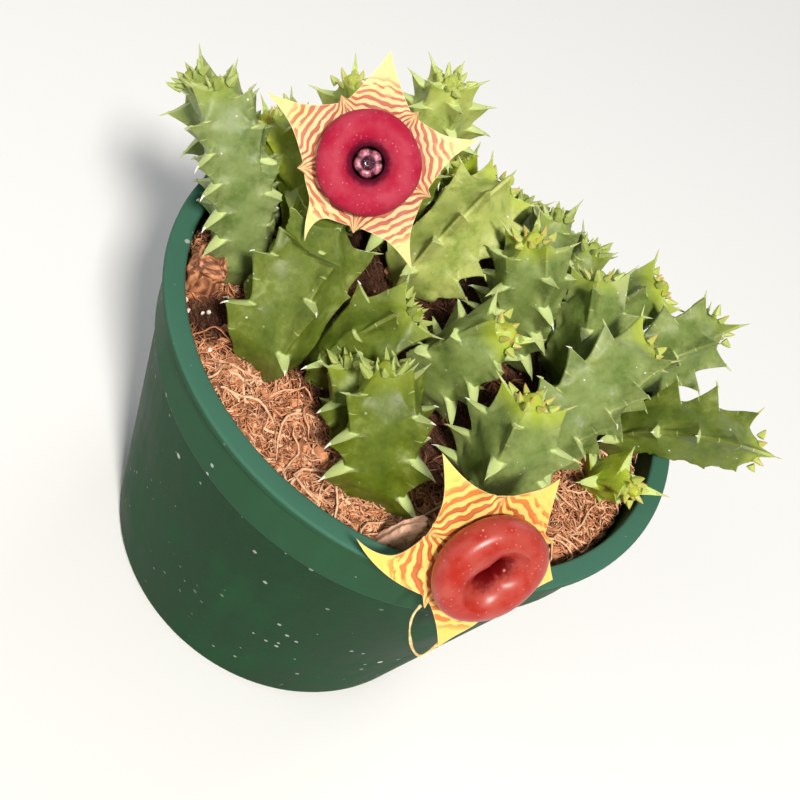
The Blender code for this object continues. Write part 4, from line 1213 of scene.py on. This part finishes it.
def star(flower):
    angle, edge, lobe, aside, half_gap, length, curl = star_columns(flower)
    notch_radius = SINUS_RADIUS + SINUS_POINT
    off = np.radians(np.abs(aside))
    from_notch = np.radians(half_gap - np.abs(aside))
    notch_x = notch_radius * np.sin(np.radians(half_gap))
    notch_y = notch_radius * np.cos(np.radians(half_gap))
    outward = np.abs(aside) / half_gap
    stripe_foot = STRIPE_FOOT + (notch_y - STRIPE_FOOT) * outward ** 2
    rows, places = [], []
    masks = {"reach": [], "edge": [], "fold": [], "under": [], "cup": []}

    def add(radius, height, *values):
        radius = np.broadcast_to(radius, angle.shape)
        past = np.clip((radius - CURL_START) / (length - CURL_START), 0.0, None)
        turns = np.radians(angle + curl * past ** 1.5)
        rows.append(np.column_stack([radius * np.cos(turns), radius * np.sin(turns),
                                     np.broadcast_to(height, angle.shape)]))
        x = radius * np.sin(off)
        spread = np.clip(1.0 - (x / notch_x) ** 2, 0.03, 1.0) ** 0.75
        q = (radius * np.cos(off) - stripe_foot) / spread
        places.append(np.column_stack([x * np.sign(aside), q, lobe * LOBE_SEED]))
        for mask, value in zip(masks.values(), (radius / length, *values)):
            mask.append(np.broadcast_to(value, angle.shape))

    def top_height(radius):
        height = -PETAL_DROP - PETAL_REFLEX * ((radius - DISC_RADIUS) / PETAL_REACH) ** 2
        along = np.clip((radius - DISC_RADIUS) / (notch_radius - DISC_RADIUS), 0.0, 1.2)
        across = radius * np.sin(from_notch)
        crease = np.exp(-(across / FOLD_WIDTH) ** 2)
        beside = np.exp(-((across - 1.9 * (1 - along)) / FOLD_WIDTH) ** 2)
        hollow = np.exp(-((across - 1.1) / 0.5) ** 2)
        window = np.clip(along * 4.0, 0.0, 1.0)
        raised = (FOLD_HEIGHT * crease + 0.4 * beside - 0.3 * hollow) * window
        wide = np.maximum(radius * np.sin(off), 0.0)
        margin = 0.035 * wide ** 2 * np.clip((radius - 11.0) / 4.0, 0.0, 1.0)
        ripple = 0.22 * np.sin(radius * 0.9 + lobe * 2.0) * np.sin(4.0 * off)
        return height + raised + margin + ripple * window, crease * window

    for radius, height in UNDERSIDE:
        add(radius, height, 0.0, 0.0, 1.0, 0.0)
    shares = np.sin(np.linspace(0.0, math.pi / 2, PETAL_ROWS))
    for share in shares:
        radius = DISC_RADIUS + (edge - DISC_RADIUS) * (share - 0.012)
        height, fold = top_height(radius)
        thick = PETAL_THICKNESS * (0.35 + 0.65 * (1 - share ** 4))
        add(radius, height - thick, share, fold, 1.0, 0.0)
    for share in shares[::-1]:
        radius = DISC_RADIUS + (edge - DISC_RADIUS) * share
        height, fold = top_height(radius)
        add(radius, height, share, fold, 0.0, 0.0)
    for radius, height in CUP_PROFILE:
        add(radius, height, 0.0, 0.0, 0.0, 1.0 if radius < 5.5 else 0.0)
    rows = [to_world(flower, row) for row in rows]
    piece = closed_rows(f"{flower.name}_star", rows, star_material(flower), 60)
    spots = np.vstack([np.concatenate(places), np.zeros((2, 3))])
    attribute = piece.data.attributes.new("stripe_place", "FLOAT_VECTOR", "POINT")
    attribute.data.foreach_set("vector", spots.astype(np.float32).ravel())
    for name, values in masks.items():
        set_mask(piece, name, np.append(np.concatenate(values), (values[0][0], values[-1][0])))
    return piece


def star_material(flower):
    """Fleshy petals: stripes that wander, thicken, fork and stop short of the tips."""
    tints = STAR_COLOURS[flower.name]
    material, wires, surface = new_material(
        f"{flower.name}_petal", Specular_IOR_Level=0.35, Subsurface_Weight=0.15,
        Subsurface_Scale=0.0015)
    spot = wires.attribute("stripe_place", "Vector")
    x, q, _ = wires.node("SeparateXYZ", Vector=spot).outputs[:]
    reach = wires.attribute("reach")

    def field(stretch, scale, detail=2.0):
        moved = wires.node("VectorMath", {"operation": "MULTIPLY"}, _0=spot, _1=stretch)
        return wires.noise(moved.outputs[0], scale, detail)

    wander = wires.math("MULTIPLY", wires.math("SUBTRACT", field((0.30, 0.10, 1.0), 1.0, 1.0), 0.5), tints.waver)
    phase = wires.math("ADD", wires.math("DIVIDE", q, tints.pitch), wander)
    wave = wires.math("SINE", wires.math("MULTIPLY", phase, math.tau))
    swell = wires.math("MULTIPLY", wires.math("SUBTRACT", field((0.45, 0.7, 1.3), 1.0), 0.5), 3.3)
    level = wires.math("ADD", wave, swell)
    band = wires.step(level, -tints.width, 0.33 - tints.width)
    core = wires.step(level, 0.55, 1.1)
    whole = wires.step(field((0.34, 0.5, 2.1), 1.0, 3.0), 0.40, 0.46)
    inner = wires.step(reach, 0.82, 0.66)
    whole = wires.math("MAXIMUM", whole, wires.step(reach, 0.66, 0.58))
    band = wires.math("MULTIPLY", wires.math("MULTIPLY", band, whole), inner)
    colour = wires.mix(wires.step(reach, 0.50, 0.80), tints.inner, tints.outer)
    soft = wires.noise(wires.place(), 300.0, 3.0)
    colour = wires.mix(wires.step(soft, 0.40, 0.70, 0.0, 0.35), colour, tints.rim)
    stripe = wires.mix(wires.step(reach, 0.62, 0.50), tints.stripe, tints.deep)
    stripe = wires.mix(wires.math("MULTIPLY", core, 0.45), stripe, tints.stripe)
    colour = wires.mix(wires.math("MULTIPLY", band, 0.92), colour, stripe)
    fold = wires.attribute("fold")
    colour = wires.mix(wires.math("MULTIPLY", fold, 0.5), colour, tints.rim)
    colour = wires.mix(wires.step(wires.attribute("edge"), 0.93, 1.0, 0.0, 0.75), colour,
                       tints.rim)
    colour = wires.mix(wires.attribute("under"), colour, (0.62, 0.55, 0.25, 1.0))
    colour = wires.mix(wires.attribute("cup"), colour, (0.10, 0.006, 0.016, 1.0))
    wires.feed(surface, "Base_Color", colour)
    papillae = wires.noise(wires.place(), 1500.0, 2.0)
    wires.feed(surface, "Roughness", wires.math("ADD", wires.math("MULTIPLY", papillae, 0.2), 0.42))
    height = wires.math("ADD", papillae, wires.math("MULTIPLY", band, 0.5))
    bump = wires.node("Bump", Strength=0.35, Distance=0.00015, Height=height)
    wires.feed(surface, "Normal", bump.outputs[0])
    return material


for flower in FLOWERS:
    piece = star(flower)
    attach(piece, "root")
    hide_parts(f"{flower.name}_corolla")

# The rings: a fleshy raised ring on each star. The upper one is matt crimson with a dark funnel,
# the lower one is a fat glossy red one, almost closed in the middle. Both are painted darker low
# on their outer side as shade.
RING_SIDES = 128
RING_ROWS = 30
# A ring has its middle radius, half width and height, then its funnel: the hole, the depth
# it falls to, how conical it is and how wide its dark part is. Next is how oval the ring is
# and how oval its mouth is, along one way in the flower's plane, and then its colours: the face,
# a painted shade low on its outer side, the dark funnel and pale specks; last come its gloss,
# shine and coat.
Ring = namedtuple("Ring", "middle half_width height hole low cone slope oval mouth face lower "
                          "deep speck gloss shine coat")
LONG_WAY = 49.0
RINGS = {
    "flower_1": Ring(5.95, 2.95, 4.8, 2.72, 0.6, 1.0, 1.7, 0.0, 0.0, (0.36, 0.008, 0.034, 1.0),
                     (0.30, 0.007, 0.024, 1.0), (0.120, 0.004, 0.022, 1.0),
                     (0.85, 0.30, 0.36, 1.0), 0.50, 0.12, 0.0),
    "flower_2": Ring(5.7, 3.6, 6.4, 1.35, 1.4, 1.55, 2.5, 0.055, 0.42, (0.36, 0.016, 0.008, 1.0),
                     (0.26, 0.008, 0.006, 1.0), (0.14, 0.003, 0.004, 1.0),
                     (0.85, 0.42, 0.32, 1.0), 0.27, 0.30, 0.06),
}


def ring_section(ring):
    """Radius and height round the ring's section: the outer side, the funnel and the foot."""
    bend = np.radians(np.linspace(-90, 90, RING_ROWS))
    rise = np.sign(np.sin(bend)) * np.abs(np.sin(bend)) ** 0.94
    outer = np.column_stack([ring.middle + ring.half_width * np.cos(bend) ** 0.92,
                             ring.height / 2 * (1 + rise)])
    drop = np.linspace(1.0, 0.0, RING_ROWS)[1:]
    inward = (1 - drop ** 2) ** (ring.cone / 2)
    funnel = np.column_stack([ring.middle - (ring.middle - ring.hole) * inward,
                              ring.low + (ring.height - ring.low) * drop])
    return np.vstack([outer, funnel, (ring.hole, ring.low / 2), (ring.hole + 0.3, 0.0)])


def fleshy_ring(flower):
    """The ring: its section turned round the middle, a little uneven as flesh is."""
    ring = RINGS[flower.name]
    turns = np.arange(RING_SIDES) * math.tau / RING_SIDES
    wobble = 0.010 * np.sin(3 * turns + 0.8) + 0.008 * np.sin(5 * turns)
    section = ring_section(ring)
    rows = []
    stretch = np.cos(2 * (turns - math.radians(LONG_WAY)))
    for index, (radius, height) in enumerate(section):
        inward = (ring.middle - radius) / (ring.middle - ring.hole) * (index >= RING_ROWS)
        inward = min(max(inward, 0.0), 1.0)
        oval = ring.oval + (ring.mouth - ring.oval) * inward * (2 - inward)
        reach = radius * (1 + wobble * min(1.0, radius / ring.middle) + oval * stretch)
        rows.append(np.column_stack([reach * np.cos(turns), reach * np.sin(turns),
                                     np.full(RING_SIDES, height)]))
    faces = []
    for i in range(len(section)):
        for j in range(RING_SIDES):
            k = (j + 1) % RING_SIDES
            low, high = i * RING_SIDES, (i + 1) % len(section) * RING_SIDES
            faces.append((low + j, low + k, high + k, high + j))
    piece = new_piece(f"{flower.name}_fleshy_ring", to_world(flower, np.concatenate(rows)), faces,
                      ring_material(flower))
    funnel = np.clip(1.0 - (section[:, 0] - ring.hole) / ring.slope, 0.0, 1.0)
    # Painted shade: the lower part of the outer side, down to the foot on the petals.
    under = np.clip(1.1 - section[:, 1] / ring.height * 1.8, 0.0, 1.0)
    under = under * (section[:, 0] > ring.middle)
    set_mask(piece, "funnel", np.repeat(funnel, RING_SIDES))
    set_mask(piece, "under", np.repeat(under, RING_SIDES))
    return piece


def ring_material(flower):
    ring = RINGS[flower.name]
    material, wires, surface = new_material(
        f"{flower.name}_ring_skin", Specular_IOR_Level=ring.shine, Coat_Weight=ring.coat,
        Coat_Roughness=0.22, Subsurface_Weight=0.04, Subsurface_Scale=0.001)
    place = wires.place()
    cloud = wires.noise(place, 230.0, 4.0, 0.6)
    colour = wires.mix(wires.step(cloud, 0.35, 0.65), ring.face,
                       wires.mix(0.10, ring.face, ring.speck))
    # Painted shade low on the ring's outer side.
    colour = wires.mix(wires.attribute("under"), colour, ring.lower)
    dots = wires.node("TexVoronoi", {"feature": "F1"}, Vector=place, Scale=1500.0)
    dot = wires.step(dots.outputs["Distance"], 0.26, 0.10)
    sparse = wires.step(wires.node("SeparateColor", Color=dots.outputs["Color"]).outputs[0],
                        0.62, 0.72)
    dot = wires.math("MULTIPLY", dot, sparse)
    colour = wires.mix(wires.math("MULTIPLY", dot, 0.32), colour, ring.speck)
    grainy = wires.math("MULTIPLY", wires.math("SUBTRACT", wires.noise(place, 1300.0, 2.0), 0.5),
                        0.8)
    edge = wires.math("ADD", wires.attribute("funnel"), grainy)
    colour = wires.mix(wires.step(edge, 0.12, 0.80), colour, ring.deep)
    grit = wires.group(DUST_SPECKS, Scale=420.0, Amount=0.28).outputs[0]
    colour = wires.mix(wires.math("MULTIPLY", grit, 0.5), colour, ring.speck)
    wires.feed(surface, "Base_Color", colour)
    wires.feed(surface, "Roughness",
               wires.math("ADD", wires.math("MULTIPLY", cloud, 0.12), ring.gloss))
    height = wires.math("ADD", wires.math("MULTIPLY", dot, 0.8),
                        wires.math("MULTIPLY", cloud, 0.8))
    bump = wires.node("Bump", Strength=0.25, Distance=0.0001, Height=height)
    wires.feed(surface, "Normal", bump.outputs[0])
    return material


for flower in FLOWERS:
    piece = fleshy_ring(flower)
    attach(piece, "root")
    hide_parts(f"{flower.name}_ring")

# The coronas: the small waxy knob in the middle of each cup. Five pink outer lobes stand round
# five dark inner ones that meet in the middle. The lower flower's knob sits deep in its funnel
# and is painted dark red as shade.
CORONA_RADIUS = 2.45
CORONA_SIDES = 90
CORONA_GAP = 0.3
# The knob's section from its foot up: radius, and height from its top.
KNOB_PROFILE = ((1.65, -9.0), (1.7, -2.4), (2.0, -1.9), (2.35, -1.4), (2.48, -0.9),
                (2.38, -0.45), (2.15, -0.12), (1.85, 0.05), (1.5, 0.08), (1.15, -0.10),
                (0.8, -0.32), (0.4, -0.38), (0.05, -0.35))
CORONA_DARK = (0.035, 0.004, 0.014, 1.0)
Corona = namedtuple("Corona", "top flesh pale")
CORONAS = {
    "flower_1": Corona(1.35, (0.36, 0.075, 0.125, 1.0), (0.62, 0.24, 0.31, 1.0)),
    # Painted shade: the lower flower's knob is coloured dark red, as it lies in the funnel's shade.
    "flower_2": Corona(-2.2, (0.10, 0.006, 0.010, 1.0), (0.30, 0.06, 0.06, 1.0)),
}


def corona(flower):
    """A five-lobed knob: a lobed disc on a stem, with a rosette of beads on top."""
    turns = np.arange(CORONA_SIDES) * math.tau / CORONA_SIDES
    top = CORONAS[flower.name].top
    lobed = 0.5 + 0.5 * np.cos(5 * turns)
    rows = []
    for radius, height in KNOB_PROFILE:
        reach = radius * CORONA_RADIUS / 2.5 * (1 + 0.09 * (lobed ** 0.6 - 0.5) * min(radius / 1.5, 1.0))
        crown = 0.30 * min(max(radius - 0.7, 0.0), 1.0) if height > -1.5 else 0.0
        foot = CORONA_GAP - CUP_DEPTH if height == KNOB_PROFILE[0][1] else height + top
        rows.append(np.column_stack([reach * np.cos(turns), reach * np.sin(turns),
                                     foot + crown * (lobed ** 0.5 - 0.6)]))
    rows = [to_world(flower, row) for row in rows]
    piece = closed_rows(f"{flower.name}_knob", rows, corona_material(CORONAS[flower.name]))
    radii = np.repeat([radius for radius, _ in KNOB_PROFILE], CORONA_SIDES) / 2.5
    set_mask(piece, "reach", np.append(radii, (1.0, 0.0)))
    set_mask(piece, "lobe", np.append(np.tile(lobed, len(KNOB_PROFILE)), (0.0, 0.0)))
    ball = bmesh.new()
    bmesh.ops.create_icosphere(ball, subdivisions=3, radius=1.0)
    form = np.array([corner.co for corner in ball.verts])
    corners = [tuple(corner.index for corner in face.verts) for face in ball.faces]
    ball.free()
    points, faces = [], []
    beads = [(0.0, 0.0, 0.33)]
    for i in range(5):
        angle = math.tau * (i + 0.5) / 5
        beads.append((0.78 * math.cos(angle), 0.78 * math.sin(angle), 0.34))
    for x, y, size in beads:
        start = len(points) * len(form)
        points.append(form * (size, size, 0.28) + (x, y, top - 0.22))
        faces += [tuple(start + corner for corner in face) for face in corners]
    dark, wires, surface = new_material(f"{flower.name}_bead_wax", Specular_IOR_Level=0.3,
                                        Coat_Weight=0.15, Coat_Roughness=0.08, Roughness=0.3)
    wires.feed(surface, "Base_Color",
               wires.mix(wires.step(wires.noise(wires.place(), 900.0), 0.4, 0.7), CORONA_DARK,
                         (0.12, 0.012, 0.04, 1.0)))
    rosette = new_piece(f"{flower.name}_rosette", to_world(flower, np.concatenate(points)),
                        faces, dark)
    return piece, rosette


def corona_material(tints):
    material, wires, surface = new_material("corona_wax", Specular_IOR_Level=0.55,
                                            Coat_Weight=0.5, Coat_Roughness=0.1)
    reach, lobe = wires.attribute("reach"), wires.attribute("lobe")
    blotch = wires.noise(wires.place(), 1700.0, 3.0)
    colour = wires.mix(wires.step(blotch, 0.40, 0.60), tints.flesh, tints.pale)
    between = wires.step(lobe, 0.30, 0.05)
    colour = wires.mix(wires.math("MULTIPLY", between, 0.8), colour, CORONA_DARK)
    colour = wires.mix(wires.step(reach, 0.58, 0.44), colour, CORONA_DARK)
    colour = wires.mix(wires.step(reach, 0.90, 1.0, 0.0, 0.7), colour, CORONA_DARK)
    wires.feed(surface, "Base_Color", colour)
    wires.feed(surface, "Roughness", wires.math("ADD", wires.math("MULTIPLY", blotch, 0.2), 0.2))
    bump = wires.node("Bump", Strength=0.4, Distance=0.0001, Height=blotch)
    wires.feed(surface, "Normal", bump.outputs[0])
    return material


for flower in FLOWERS:
    knob, rosette = corona(flower)
    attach(knob, "root")
    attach(rosette, "root")
    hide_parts(f"{flower.name}_corona")

# The flower stalks: each is a short green stalk from the side of its stem, which opens into
# five narrow sepals pressed against the back of the cup.
STALK_SIDES = 20
SEPAL_LENGTH = 5.2
SEPAL_BEND = 2.0


def stalk(flower):
    line = STALKS[flower.name]
    facing, level, rising = flower_frame(flower)
    end = np.array(flower.centre) - facing * (CUP_DEPTH + 1.2) * flower.size
    line = np.vstack([line[:-1], (line[-1] + end) / 2, end])
    ahead = np.gradient(line, axis=0)
    ahead /= np.linalg.norm(ahead, axis=1)[:, None]
    turns = np.arange(STALK_SIDES) * math.tau / STALK_SIDES
    rows = []
    for i, point in enumerate(line):
        side = np.cross(rising, ahead[i])
        side /= np.linalg.norm(side)
        other = np.cross(ahead[i], side)
        swell = 1.0 + 0.35 * max(0.0, (i - len(line) + 4) / 3)
        ridged = STALK_RADIUS * flower.size * swell * (1 + 0.06 * np.cos(5 * turns))
        rows.append(point + (np.outer(np.cos(turns), side) + np.outer(np.sin(turns), other))
                    * ridged[:, None])
    piece = closed_rows(f"{flower.name}_stalk", rows, None)
    points = np.array([corner.co for corner in piece.data.vertices]) / MM
    faces = [tuple(face.vertices) for face in piece.data.polygons]
    bpy.data.objects.remove(piece)
    for i in range(5):
        angle = math.tau * (i + 0.5) / 5
        out = level * math.cos(angle) + rising * math.sin(angle)
        long = SEPAL_LENGTH * flower.size
        start = end + out * 1.0 * flower.size
        sepal, corners = horn(start, out, np.zeros(3), long, 1.25, 10, 8)
        along = (sepal - start) @ out / long
        height = (sepal - start) @ facing
        sepal = sepal + np.outer(SEPAL_BEND * along ** 2 - 0.7 * height, facing)
        faces += [tuple(len(points) + corner for corner in face) for face in corners]
        points = np.vstack([points, sepal])
    piece = new_piece(f"{flower.name}_stalk", points, faces, STEM_MATERIAL)
    for name in ("ledge", "young", "tooth", "groove_shade", "low", "dry", "blush", "fresh"):
        set_mask(piece, name, np.full(len(points), 0.4 if name == "ledge" else 0.0))
    tint = piece.data.color_attributes.new(name="flesh", type="FLOAT_COLOR", domain="POINT")
    tint.data.foreach_set("color", np.tile(SAGE, len(points)).astype(np.float32))
    return piece


for flower in FLOWERS:
    piece = stalk(flower)
    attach(piece, "root")

# The withered thread: a thin dry cream strand that loops from the lowest petal tip of the lower
# flower back to that petal's edge.
THREAD_RADIUS = 0.28
THREAD_SIDES = 8
THREAD_ROUNDS = 4
THREAD_CREAM = (0.80, 0.66, 0.34, 1.0)
THREAD_BROWN = (0.62, 0.42, 0.16, 1.0)
# Places on the thread in the flower's own frame: level, rising, and height over its plane.
THREAD = ((0.2, -18.6, -2.3), (-0.9, -20.3, -2.3), (-2.2, -21.8, -2.3), (-4.1, -20.4, -2.2),
          (-5.4, -18.2, -2.1), (-6.5, -15.7, -1.9), (-7.0, -12.9, -1.6), (-6.4, -10.8, -1.3))


def thread(flower):
    line = to_world(flower, THREAD)
    for _ in range(THREAD_ROUNDS):
        near = 0.75 * line[:-1] + 0.25 * line[1:]
        far = 0.25 * line[:-1] + 0.75 * line[1:]
        line = np.vstack([line[:1], np.stack([near, far], axis=1).reshape(-1, 3), line[-1:]])
    ahead = np.gradient(line, axis=0)
    ahead /= np.linalg.norm(ahead, axis=1)[:, None]
    side = np.cross(ahead, flower_frame(flower)[0])
    side /= np.linalg.norm(side, axis=1)[:, None]
    other = np.cross(ahead, side)
    turns = np.arange(THREAD_SIDES) * math.tau / THREAD_SIDES
    share = np.linspace(0.0, 1.0, len(line))
    thick = THREAD_RADIUS * (0.8 + 0.3 * np.sin(share * 21.0) * np.sin(share * 8.0))
    rows = [line[i] + (np.outer(np.cos(turns), side[i]) + np.outer(np.sin(turns), other[i]))
            * thick[i] for i in range(len(line))]
    material, wires, surface = new_material("dry_thread", Roughness=0.6)
    blotch = wires.noise(wires.place(), 700.0, 3.0)
    wires.feed(surface, "Base_Color", wires.mix(wires.step(blotch, 0.4, 0.6), THREAD_CREAM,
                                                THREAD_BROWN))
    return closed_rows("petal_thread", rows, material)


piece = thread(FLOWERS[1])
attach(piece, "root")
